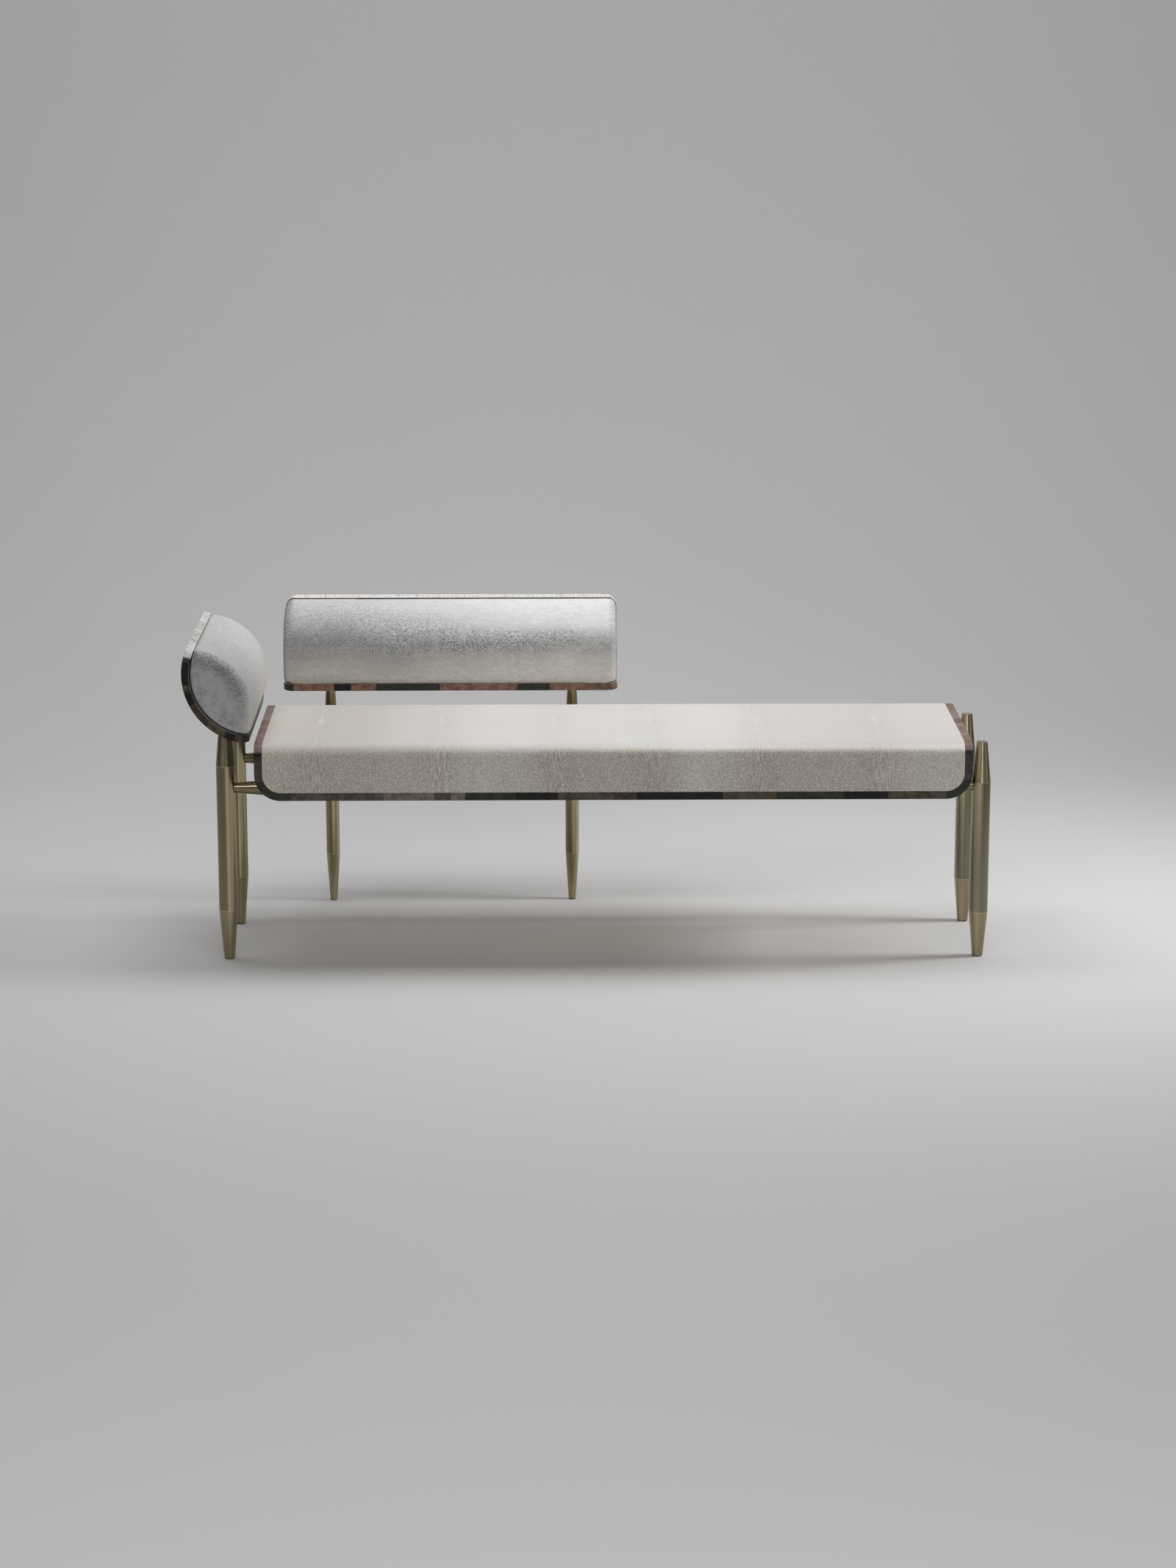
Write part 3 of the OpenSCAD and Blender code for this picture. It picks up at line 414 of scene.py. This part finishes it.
def napped_hide(name, rest, length, seed, first, last, end_tone, ruffle=1.0):
    """Short brushed nap, with its tones by height at its first and last end, which are mostly painted light
    and shade. It is smooth above, ruffled in small dark dashes across its middle, painted dark with dashes
    on the ends' ridges as painted shade, and has soft swirls below."""
    f = Finish(name, Sheen_Weight=0.06, Sheen_Roughness=0.45, Specular_IOR_Level=0.15)
    place = f.local(rest)
    x, y, z = f.axes(place)
    drift = f.noise(f.vector(y, z * 0.6, seed), 5.5, 3.0, 0.55)
    level = z + (drift - 0.5) * 0.045
    share = level / NAP_SPAN + 0.5
    tone = f.mix(f.between(y, -length / 2, length * 0.33),
                 f.tones(share, nap_tones(first)), f.tones(share, nap_tones(last)))
    clump = f.noise(f.vector(y, z, seed + 3.0), 38.0, 4.0, 0.65)
    rounded = f.between(abs(y), length / 2 - 17.0 * MM, length / 2 - 9.0 * MM)
    end = f.between(abs(y), length / 2 - 6.0 * MM, length / 2 - 3.0 * MM)
    rim = f.maths("SQRT", (x - END_ARC_X) * (x - END_ARC_X) + z * z)
    # Painted shade on the rounded ridge round each end's flat face
    ridge = f.between(abs(y), length / 2 - 24.0 * MM, length / 2 - 11.0 * MM)
    ridge = ridge * f.between(rim + (clump - 0.5) * 0.03, END_ARC_R - 26.0 * MM, END_ARC_R - 6.0 * MM)
    ridge = ridge * f.between(z, -0.075, -0.010) * (1.0 - f.between(y, 0.0, 0.05) * 0.6)
    heart = end * f.between(f.noise(f.vector(x, z, seed), 30.0, 3.0), 0.46, 0.64)
    ruffled = f.between(f.axes(tone)[0], 0.78, 0.54) * f.between(level, -0.062, -0.040)
    ruffled = ruffled * (1.0 - rounded * 0.7)
    ruffled = ruffled * f.between(y, -length * 0.48, length * 0.05, 0.60, 1.0)
    ruffled = ruffled * f.between(y, length * 0.50, length * 0.20, 0.55, 1.0)
    amount = f.maths("MAXIMUM", f.maths("MAXIMUM", ruffled * ruffle, ridge * 0.9), heart * 0.6)
    dash = f.noise(f.slanted(place, 18.0, 400.0, 320.0, 720.0), 1.0, 2.0, 0.6, 0.9)
    cross = f.noise(f.slanted(place, -33.0, 430.0, 360.0, 820.0), 1.0, 2.0, 0.6, 0.9)
    specks = f.between(dash * 0.6 + cross * 0.4 + (clump - 0.5) * 0.07, 0.480, 0.535)
    hairs = f.noise(f.slanted(place, -8.0, 120.0, 60.0, 900.0), 1.0, 3.0, 0.6, 0.5)
    swirl = f.noise(f.slanted(place, -18.0, 60.0, 26.0, 90.0), 1.0, 5.0, 0.68, 2.6)
    curl = f.noise(f.slanted(place, -50.0, 200.0, 120.0, 420.0), 1.0, 3.0, 0.6, 2.0)
    side = f.mix(heart * 0.75, (end_tone,) * 3, (end_tone * 0.7,) * 3)
    tone = f.mix(rounded * 0.35, tone, ROUNDED_NAP)
    tone = f.mix(ridge * 0.75, f.mix(end, tone, side), RIDGE_SHADE_NAP)
    tone = f.tinted(amount, tone, (1.36,) * 3)
    colour = f.tinted(1.0, tone, f.mix(f.between(swirl, 0.34, 0.68), (0.94,) * 3, (1.07, 1.07, 1.06)))
    colour = f.tinted(f.between(hairs, 0.44, 0.62) * 0.42, colour, (0.72,) * 3)
    curled = f.between(curl, 0.50, 0.66) * f.between(level, -0.020, -0.060) * 0.3
    colour = f.tinted(curled, colour, (0.70, 0.69, 0.66))
    colour = f.tinted(specks * (0.12 + amount * 0.78), colour, (0.20,) * 3)
    height = swirl * 0.7 + hairs * 0.15 - specks * (0.2 + amount * 0.6) + curl * 0.15
    return f.paint(colour, 0.80 - swirl * 0.1, height, 0.8 * MM, 0.5)


# Thickness of one ply, how dark the boards under the pads are, and the tones of the wood, with a near black
# painted shade for the gap beside a pad and a pale grey painted light for its upper lip
THICK_PLY = 1.8 * MM
THIN_PLY = 1.5 * MM
PAD_BOARD_SHADE = 0.35
DARK_PLY = (0.62, 0.45, 0.27)
PALE_PLY = (0.76, 0.60, 0.40)
GLUE_LINE = (0.40, 0.26, 0.14)
GAP_SHADE_EDGE = (0.025, 0.023, 0.02)
LIP_LIGHT_EDGE = (0.50, 0.49, 0.47)


def plywood(name, along, across, ply=THICK_PLY, rest=None, shade=1.0, lip_light=0.0):
    """Sanded plywood: grain on its faces, and its plies as fine bands on its edges. A bent board has its
    plies across "r". Where it shows in the gap beside a pad it is painted near black as painted shade, and
    where asked its upper lip is painted pale grey, painted light over the shade there."""
    f = Finish(name, Specular_IOR_Level=0.3)
    dark, pale, glue = (tuple(part * shade for part in tone) for tone in (DARK_PLY, PALE_PLY, GLUE_LINE))
    place = f.local(rest) if rest else f.place
    parts = f.axes(place)
    stretch = [160.0, 160.0, 160.0]
    stretch["xyz".index(along)] = 9.0
    grain = f.noise(f.stretched(place, *stretch), 1.0, 5.0, 0.6, 0.7)
    if across == "r":
        depth = f.maths("SQRT", parts[0] * parts[0] + parts[2] * parts[2])
    else:
        depth = parts["xyz".index(across)]
    band = f.between(f.maths("PINGPONG", depth, ply) / ply, 0.35, 0.65)
    colour = f.mix(f.between(grain, 0.3, 0.7), dark, pale)
    colour = f.mix(band * 0.35, colour, glue)
    if across == "r":
        # Painted shade: near black where the board shows in the gap beside a pad
        gap_shade = f.between(depth, LENS_R + 0.8 * MM, LENS_R + 1.4 * MM, 1.0, 0.0)
        # Painted light: the upper lip of the gap painted pale grey over the shade that falls there
        lip_light_mask = f.between(parts[2], 85.0 * MM, 100.0 * MM) * lip_light
        colour = f.mix(gap_shade, colour, f.mix(lip_light_mask, GAP_SHADE_EDGE, LIP_LIGHT_EDGE))
    return f.paint(colour, 0.55 + grain * 0.2, grain, 0.3 * MM, 0.5)


def hardwood(name):
    """Planed hardwood with long grain and a few darker rays."""
    f = Finish(name, Specular_IOR_Level=0.3)
    warp = f.noise(f.place, 3.0, 2.0)
    rings = f.noise(f.stretched(f.place, 3.0, 70.0, 70.0), 1.0, 5.0, 0.65, 0.5)
    pores = f.noise(f.stretched(f.place, 40.0, 1400.0, 1400.0), 1.0, 2.0)
    colour = f.mix(f.between(rings + warp * 0.2, 0.35, 0.8), (0.50, 0.33, 0.18), (0.66, 0.48, 0.29))
    colour = f.mix(f.between(pores, 0.6, 0.75) * 0.4, colour, (0.26, 0.16, 0.08))
    return f.paint(colour, 0.5 + pores * 0.2, rings + pores * 0.3, 0.2 * MM, 0.4)


def zinc(name):
    """Zinc-plated steel with faint spangle and turning marks."""
    f = Finish(name, Metallic=1.0)
    spangle = f.cells(f.place, 900.0)
    rub = f.noise(f.stretched(f.place, 300.0, 300.0, 2600.0), 1.0, 2.0)
    colour = f.mix(f.between(spangle, 0.1, 0.6), (0.58, 0.60, 0.62), (0.74, 0.75, 0.76))
    return f.paint(colour, 0.3 + rub * 0.2, rub, 0.03 * MM, 0.4)


def moulded_black(name):
    """Moulded black plastic with a fine matt grain and scuffs from the floor."""
    f = Finish(name)
    grain = f.noise(f.place, 1600.0, 2.0)
    scuff = f.between(f.noise(f.place, 160.0, 4.0, 0.7), 0.55, 0.75)
    colour = f.mix(scuff * 0.5, (0.025, 0.025, 0.026), (0.16, 0.155, 0.15))
    return f.paint(colour, 0.5 + grain * 0.3, grain, 0.05 * MM, 0.5)


def cut_foam(name):
    """Cut cream foam with open cells."""
    f = Finish(name)
    cells = f.cells(f.place, 900.0)
    cream = f.mix(f.noise(f.place, 12.0, 3.0), (0.84, 0.80, 0.62), (0.90, 0.86, 0.70))
    colour = f.mix(f.between(cells, 0.2, 0.6), (0.55, 0.50, 0.36), cream)
    return f.paint(colour, 0.85 + cells * 0.1, cells, 0.2 * MM, 0.6)


def dress(names, material):
    """Gives CAD nodes their finish."""
    for name in names:
        slots = nodes[name].material_slots
        for slot in slots:
            slot.material = material
        if not slots:
            nodes[name].data.materials.append(material)


# Shell in single tones, and the orders in which the strips lay them
BLACK_SHELL = (0.016, 0.015, 0.014)
SLATE_SHELL = (0.060, 0.058, 0.058)
GREEN_SHELL = (0.040, 0.043, 0.033)
OLIVE_SHELL = (0.098, 0.084, 0.056)
BROWN_SHELL = (0.080, 0.056, 0.045)
RED_SHELL = (0.305, 0.170, 0.122)
PLUM_SHELL = (0.066, 0.046, 0.050)
TAN_SHELL = (0.240, 0.150, 0.105)
SAND_SHELL = (0.220, 0.180, 0.145)
GREY_SHELL = (0.110, 0.095, 0.082)
DARK_SHELL = [(0.0, BROWN_SHELL), (0.2, GREEN_SHELL), (0.38, SLATE_SHELL), (0.52, OLIVE_SHELL),
              (0.7, PLUM_SHELL), (0.84, BLACK_SHELL)]
ARC_SHELL = [(0.0, SLATE_SHELL), (0.04, BLACK_SHELL), (0.29, OLIVE_SHELL), (0.33, GREEN_SHELL),
             (0.35, BLACK_SHELL), (0.453, BROWN_SHELL), (0.642, OLIVE_SHELL), (0.805, BLACK_SHELL),
             (0.93, OLIVE_SHELL)]
LONG_STRIP_SHELL = [(0.0, SLATE_SHELL), (0.05, GREY_SHELL), (0.176, SAND_SHELL), (0.25, OLIVE_SHELL),
                    (0.27, SAND_SHELL), (0.29, GREEN_SHELL), (0.36, BLACK_SHELL), (0.42, OLIVE_SHELL),
                    (0.47, GREY_SHELL), (0.5, BROWN_SHELL), (0.53, BLACK_SHELL), (0.65, OLIVE_SHELL),
                    (0.725, GREEN_SHELL), (0.82, BLACK_SHELL), (0.88, OLIVE_SHELL), (0.94, GREY_SHELL)]
LOW_STRIP_SHELL = [(0.0, GREEN_SHELL), (0.03, RED_SHELL), (0.15, BLACK_SHELL), (0.2, RED_SHELL),
                   (0.276, GREEN_SHELL), (0.467, RED_SHELL), (0.698, GREEN_SHELL), (0.793, RED_SHELL),
                   (0.926, TAN_SHELL)]
# The next four are pale tones that upward faces take: painted reflection of the light on the shell
BEAD_SHELL = [(0.0, (0.66, 0.66, 0.65)), (0.4, (0.54, 0.53, 0.51)), (0.7, (0.74, 0.74, 0.73))]
SILVER_SHELL = [(0.0, (0.12, 0.12, 0.12)), (0.3, (0.62, 0.62, 0.62)), (0.55, (0.24, 0.24, 0.24)),
                (0.75, (0.52, 0.52, 0.52))]
BLUSH_SHELL = [(0.0, (0.78, 0.76, 0.74)), (0.3, (0.82, 0.79, 0.76)), (0.6, (0.72, 0.66, 0.62)),
               (0.8, (0.80, 0.79, 0.78))]
ROSY_SHELL = [(0.0, (0.21, 0.125, 0.10)), (0.3, (0.27, 0.19, 0.16)), (0.55, (0.15, 0.088, 0.072)),
              (0.8, (0.24, 0.165, 0.14))]
END_BORDER_SHELL = [(0.0, BLACK_SHELL), (0.35, BROWN_SHELL), (0.5, GREEN_SHELL), (0.7, BLACK_SHELL)]
NIGHT_SHELL = [(0.0, SLATE_SHELL), (0.6, BLACK_SHELL)]

# Where each hide's spine lies along the seat, and the heights at which a leg's cones meet its tube
SPINES = (-0.5764, -0.3154, -0.0764, 0.1296, 0.3616, 0.6156)
LEFT_LEG_JOINTS = (0.1087, 0.4228)
RIGHT_LEG_JOINTS = (0.0985, 0.3832)
BACK_LEG_JOINTS = (0.1098, 0.4129)

for number, spine in enumerate(SPINES, 1):
    dress([f"seat_hide_{number}"], shagreen(f"seat_hide_{number}_skin", spine))
dress(["seat_left_end_hide", "seat_right_end_hide", "headrest_backing", "backrest_backing"],
      shagreen("plain_hide"))
dress(["seat_front_border", "seat_rear_border"],
      shell("long_border_shell", "x", LONG_STRIP_SHELL, ROSY_SHELL, block=72.0 * MM, seed=3.0,
            length=SEAT_RIGHT - SEAT_LEFT))
dress(["seat_left_border", "seat_right_border"],
      shell("end_border_shell", "over", END_BORDER_SHELL, ROSY_SHELL, block=45.0 * MM, seed=8.0))
dress(["headrest_top_rim"],
      shell("headrest_top_shell", "y", NIGHT_SHELL, BEAD_SHELL, block=30.0 * MM, seed=2.0, rest=HEADREST,
            lift=0.2))
dress(["headrest_bottom_rim"],
      shell("headrest_bottom_shell", "y", DARK_SHELL, SILVER_SHELL, block=60.0 * MM, seed=5.0,
            rest=HEADREST))
dress(["headrest_end_rims"],
      shell("headrest_end_shell", "arc", ARC_SHELL, SILVER_SHELL, block=50.0 * MM, seed=4.0, rest=HEADREST,
            length=2 * ARC_HALF * TROUGH_R))
dress(["backrest_top_rim"],
      shell("backrest_top_shell", "y", DARK_SHELL, BLUSH_SHELL, block=110.0 * MM, seed=7.0, rest=BACKREST,
            lift=0.6))
dress(["backrest_bottom_rim"],
      shell("backrest_bottom_shell", "y", LOW_STRIP_SHELL, BLUSH_SHELL, block=100.0 * MM, seed=1.0,
            rest=BACKREST, length=BACKREST_L))
dress(["backrest_end_rims"],
      shell("backrest_end_shell", "arc", DARK_SHELL, BLUSH_SHELL, block=50.0 * MM, seed=9.0, rest=BACKREST))
dress(["front_left_leg_tube", "rear_left_leg_tube", "left_leg_feet"],
      aged_brass("left_leg_brass", "z", LEFT_LEG_JOINTS))
dress(["front_right_leg_tube", "rear_right_leg_tube", "right_leg_feet"],
      aged_brass("right_leg_brass", "z", RIGHT_LEG_JOINTS, RIGHT_REFLECTION_STREAKS, reflection_fade=1.0))
dress(["back_left_leg_tube", "back_right_leg_tube", "back_leg_feet"],
      aged_brass("back_leg_brass", "z", BACK_LEG_JOINTS, BACK_REFLECTION_STREAKS))
dress(["left_leg_tops"],
      aged_brass("left_top_brass", "z", LEFT_LEG_JOINTS, LEFT_TOP_REFLECTION_STREAKS, contrast=1.2))
dress(["right_leg_tops"],
      aged_brass("right_top_brass", "z", RIGHT_LEG_JOINTS, RIGHT_TOP_REFLECTION_STREAKS, contrast=1.2))
dress(["back_leg_tops"], aged_brass("back_top_brass", "z", BACK_LEG_JOINTS))
dress(["front_rail_tube", "rear_rail_tube", "rail_ends"], aged_brass("rail_brass", "x"))
dress(["left_stretcher", "right_stretcher"], aged_brass("stretcher_brass", "y"))
dress(["foot_glides"], moulded_black("glide_plastic"))
dress(["seat_top_board", "seat_base_board"], plywood("seat_board_ply", "x", "z"))
dress(["seat_ribs"], plywood("seat_rib_ply", "y", "x"))
dress(["seat_front_beam", "seat_rear_beam", "seat_left_end_block", "seat_right_end_block"],
      hardwood("seat_hardwood"))
dress(["headrest_trough"], plywood("headrest_ply", "y", "r", rest=HEADREST))
dress(["backrest_trough"], plywood("backrest_ply", "y", "r", rest=BACKREST, lip_light=1.0))
dress(["headrest_pad_board"],
      plywood("headrest_board_ply", "y", "r", THIN_PLY, HEADREST, PAD_BOARD_SHADE))
dress(["backrest_pad_board"],
      plywood("backrest_board_ply", "y", "r", THIN_PLY, BACKREST, PAD_BOARD_SHADE, lip_light=1.0))
dress(["rail_studs", "rail_bolts", "trough_studs", "stretcher_studs", "base_screws", "pad_screws"],
      zinc("zinc_plate"))
dress(["headrest_foam", "backrest_foam"], cut_foam("foam_cells"))


def place_of(rest):
    """The turn and shift from a rest's own frame into the part's."""
    about_z = Matrix.Rotation(rest["turn"][2], 4, "Z")
    about_y = Matrix.Rotation(rest["turn"][1], 4, "Y")
    return Matrix.Translation(rest["centre"]) @ about_z @ about_y


def choose_only(piece):
    """Makes this piece the only selected and the active one."""
    bpy.ops.object.select_all(action="DESELECT")
    piece.select_set(True)
    bpy.context.view_layer.objects.active = piece


def finish_with(piece, kind, **settings):
    """Adds a modifier with these settings and applies it."""
    choose_only(piece)
    added = piece.modifiers.new(kind.title(), kind)
    for setting, value in settings.items():
        setattr(added, setting, value)
    bpy.ops.object.modifier_apply(modifier=added.name)


# The pads: their mesh size, how far the foam is drawn out to meet its cover, how deep the held edges reach,
# and how far and how long a pad may swell
PAD_VOXEL = 3.0 * MM
DRAWN_OUT = 2.99 * MM
HELD_DEPTH = 8.0 * MM
PAD_CAP = 1.5 * MM
SWELL_STEPS = 20
WELD_GAP = 0.01 * MM


def blow_up(piece, rest):
    """Swells the pad by its own pressure while its back and edges stay in the trough, and caps how far
    each point goes."""
    inward = place_of(rest).inverted()
    start = [v.co.copy() for v in piece.data.vertices]
    held = piece.vertex_groups.new(name="held")
    for v in piece.data.vertices:
        own = inward @ v.co
        if math.hypot(own.x, own.z) > LENS_R - HELD_DEPTH:
            held.add([v.index], 1.0, "REPLACE")
    cloth = piece.modifiers.new("Cloth", "CLOTH")
    cloth.settings.quality = 4
    cloth.settings.mass = 0.3
    cloth.settings.tension_stiffness = 18
    cloth.settings.compression_stiffness = 18
    cloth.settings.bending_stiffness = 0.8
    cloth.settings.use_pressure = True
    cloth.settings.uniform_pressure_force = 4
    cloth.settings.effector_weights.gravity = 0
    cloth.settings.vertex_group_mass = "held"
    cloth.point_cache.frame_start = 1
    cloth.point_cache.frame_end = SWELL_STEPS
    for step in range(1, SWELL_STEPS + 1):
        bpy.context.scene.frame_set(step)
    blown = piece.evaluated_get(bpy.context.evaluated_depsgraph_get())
    ends = [v.co.copy() for v in blown.data.vertices]
    piece.modifiers.remove(cloth)
    for v, first, last in zip(piece.data.vertices, start, ends):
        move = last - first
        if move.length > PAD_CAP:
            move.length = PAD_CAP
        v.co = first + move
    bpy.context.scene.frame_set(1)


def copy_of(node, name):
    """A merged copy of a CAD node's mesh, as an object of its own."""
    mesh = nodes[node].data.copy()
    mesh.materials.clear()
    copied = bpy.data.objects.new(name, mesh)
    bpy.context.scene.collection.objects.link(copied)
    finish_with(copied, "WELD", merge_threshold=WELD_GAP)
    return copied


def pad(name, foam, cover, rest, material):
    """One stuffed pad: the foam's shape, drawn out to its cover's outside and swollen."""
    piece = copy_of(foam, name)
    skin = copy_of(cover, name + "_skin")
    finish_with(piece, "REMESH", mode="VOXEL", voxel_size=PAD_VOXEL)
    finish_with(piece, "DISPLACE", strength=DRAWN_OUT, mid_level=0.0)
    finish_with(piece, "SHRINKWRAP", target=skin, wrap_method="NEAREST_SURFACEPOINT",
                wrap_mode="ON_SURFACE")
    bpy.data.objects.remove(skin)
    blow_up(piece, rest)
    finish_with(piece, "SMOOTH", factor=0.3, iterations=1)
    finish_with(piece, "SUBSURF", levels=1, render_levels=1)
    piece.data.materials.append(material)
    choose_only(piece)
    bpy.ops.object.shade_smooth()
    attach(piece, "root")
    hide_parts(foam, cover)


# The shades up each pad are mostly painted light and shade: the backrest is painted pale at its top and
# lower edge with a dark band of painted shade across its middle, and both pads are painted lighter at their
# last end, as light falling off along them
headrest_nap = napped_hide(
    "headrest_nap", HEADREST, HEADREST_L, seed=2.0,
    first=[(-0.10, 0.45), (0.0, 0.42), (0.05, 0.45), (0.10, 0.51)],
    last=[(-0.10, 0.68), (0.0, 0.67), (0.10, 0.59)],
    end_tone=0.48, ruffle=0.3)
backrest_nap = napped_hide(
    "backrest_nap", BACKREST, BACKREST_L, seed=7.0,
    first=[(-0.09, 0.67), (-0.06, 0.41), (-0.03, 0.30), (-0.01, 0.33), (0.05, 0.57), (0.10, 0.68)],
    last=[(-0.09, 0.87), (-0.05, 0.48), (-0.03, 0.43), (0.01, 0.80), (0.10, 0.92)],
    end_tone=0.45)
dress(["headrest_cover"], headrest_nap)
dress(["backrest_cover"], backrest_nap)
pad("headrest_pad", "headrest_foam", "headrest_cover", HEADREST, headrest_nap)
pad("backrest_pad", "backrest_foam", "backrest_cover", BACKREST, backrest_nap)


# Studio: a wide floor, a low wall, soft lamps, and the camera of the photograph
FLOOR_SIZE = 24.0
FLOOR_Y = -0.6
WALL_Y = 3.4
WALL_W = 4.8
WALL_H = 2.2
WALL_BEND = 1.9
WALL_BEND_SEGMENTS = 24
WALL_FOOT = WALL_BEND + 0.1
WALL_FOOT_LIFT = 0.1 * MM
AIR_GREY = 0.5
AIR_STRENGTH = 0.08


def studio_grey():
    """Matt grey paper with faint clouds."""
    f = Finish("studio_grey", Specular_IOR_Level=0.1)
    cloud = f.noise(f.place, 0.6, 2.0)
    return f.paint(f.mix(cloud, (0.685, 0.685, 0.685), (0.70, 0.70, 0.70)), 0.9 + cloud * 0.05)


def panel(name, width, depth, place):
    """Flat piece of the studio, with its size and place in its mesh."""
    bpy.ops.object.select_all(action="DESELECT")
    bpy.ops.mesh.primitive_plane_add(size=1.0, location=(0, 0, 0))
    piece = bpy.context.object
    piece.name = name
    piece.scale = (width, depth, 1.0)
    piece.location = place
    bpy.ops.object.transform_apply(location=True, scale=True)
    return piece


def studio():
    """Wide floor, and a low wall that rises from it in one bend. The wall is no wider and no higher than the
    photo's frame needs, so it doesn't stand between the object and a camera behind or beside it."""
    grey = studio_grey()
    floor = panel("studio_floor", FLOOR_SIZE, FLOOR_SIZE, (0, FLOOR_Y, 0))
    wall = panel("studio_wall", WALL_W, WALL_FOOT, (0, WALL_Y - WALL_FOOT / 2, WALL_FOOT_LIFT))
    bpy.ops.object.mode_set(mode="EDIT")
    bpy.ops.mesh.select_all(action="DESELECT")
    bpy.ops.object.mode_set(mode="OBJECT")
    for edge in wall.data.edges:
        edge.select = all(abs(wall.data.vertices[i].co.y - WALL_Y) < MM for i in edge.vertices)
    bpy.ops.object.mode_set(mode="EDIT")
    bpy.ops.mesh.extrude_region_move(TRANSFORM_OT_translate={"value": (0, 0, WALL_H)})
    bpy.ops.object.mode_set(mode="OBJECT")
    finish_with(wall, "BEVEL", width=WALL_BEND, segments=WALL_BEND_SEGMENTS, limit_method="ANGLE",
                affect="EDGES")
    choose_only(wall)
    bpy.ops.object.shade_smooth()
    for piece in (floor, wall):
        piece.data.materials.append(grey)


def lamp(name, place, aim, size, power, spread=180.0):
    """Hangs a flat lamp of this size at a place and turns it to its aim."""
    light = bpy.data.lights.new(name, "AREA")
    light.shape = "RECTANGLE"
    light.size, light.size_y = size
    light.energy = power
    light.spread = math.radians(spread)
    holder = bpy.data.objects.new(name, light)
    holder.location = place
    holder.rotation_euler = (Vector(aim) - Vector(place)).to_track_quat("-Z", "Y").to_euler()
    bpy.context.scene.collection.objects.link(holder)


studio()
lamp("right_key", place=(2.75, 0.02, 1.75), aim=(0.1, -0.06, 0.1), size=(0.6, 0.6), power=8.2, spread=90)
lamp("key_strip", place=(1.85, 0.02, 2.5), aim=(1.85, 0.02, 0.0), size=(3.1, 0.7), power=18)
lamp("left_top", place=(-0.9, 0.02, 2.6), aim=(-0.9, 0.02, 0.0), size=(1.6, 0.8), power=21)
lamp("floor_wash", place=(0.0, -4.8, 3.8), aim=(0.0, -4.6, 0.0), size=(5.0, 2.5), power=126)
lamp("wall_wash", place=(-0.3, 1.2, 3.9), aim=(-0.3, 3.4, 2.2), size=(7.0, 0.8), power=50)
lamp("rear_air", place=(-0.3, 3.5, 4.4), aim=(-0.3, -0.5, 1.4), size=(10.0, 3.6), power=46)
lamp("front_strip", place=(1.5, -8.4, 1.6), aim=(0.0, 0.0, 0.4), size=(0.35, 2.6), power=28)
lamp("right_strip", place=(4.0, -1.3, 1.2), aim=(0.4, -0.2, 0.4), size=(0.4, 2.0), power=6)

world = bpy.data.worlds.new("studio_air")
world.use_nodes = True
air = world.node_tree.nodes["Background"]
air.inputs["Color"].default_value = (AIR_GREY, AIR_GREY, AIR_GREY, 1)
air.inputs["Strength"].default_value = AIR_STRENGTH
bpy.context.scene.world = world
bpy.context.scene.view_settings.view_transform = "Standard"

# The camera that the photo's perspective was solved to: the photo's height and the focal length in its
# pixels, the place in metres and the angles in degrees
PHOTO_H = 2133
FOCAL_PX = 5000
SENSOR = 36.0
CAMERA_PLACE = (-0.092313, -7.820605, 2.1416)
CAMERA_DOWN = 13.085
CAMERA_ROLL = 0.031
CAMERA_YAW = -0.679
camera = bpy.data.cameras.new("photo_camera")
camera.sensor_fit = "VERTICAL"
camera.sensor_height = SENSOR
camera.sensor_width = SENSOR
camera.lens = SENSOR * FOCAL_PX / PHOTO_H
camera.clip_end = 60
viewer = bpy.data.objects.new("photo_camera", camera)
viewer.location = CAMERA_PLACE
viewer.rotation_euler = (math.radians(90 - CAMERA_DOWN), math.radians(CAMERA_ROLL), math.radians(CAMERA_YAW))
bpy.context.scene.collection.objects.link(viewer)
bpy.context.scene.camera = viewer
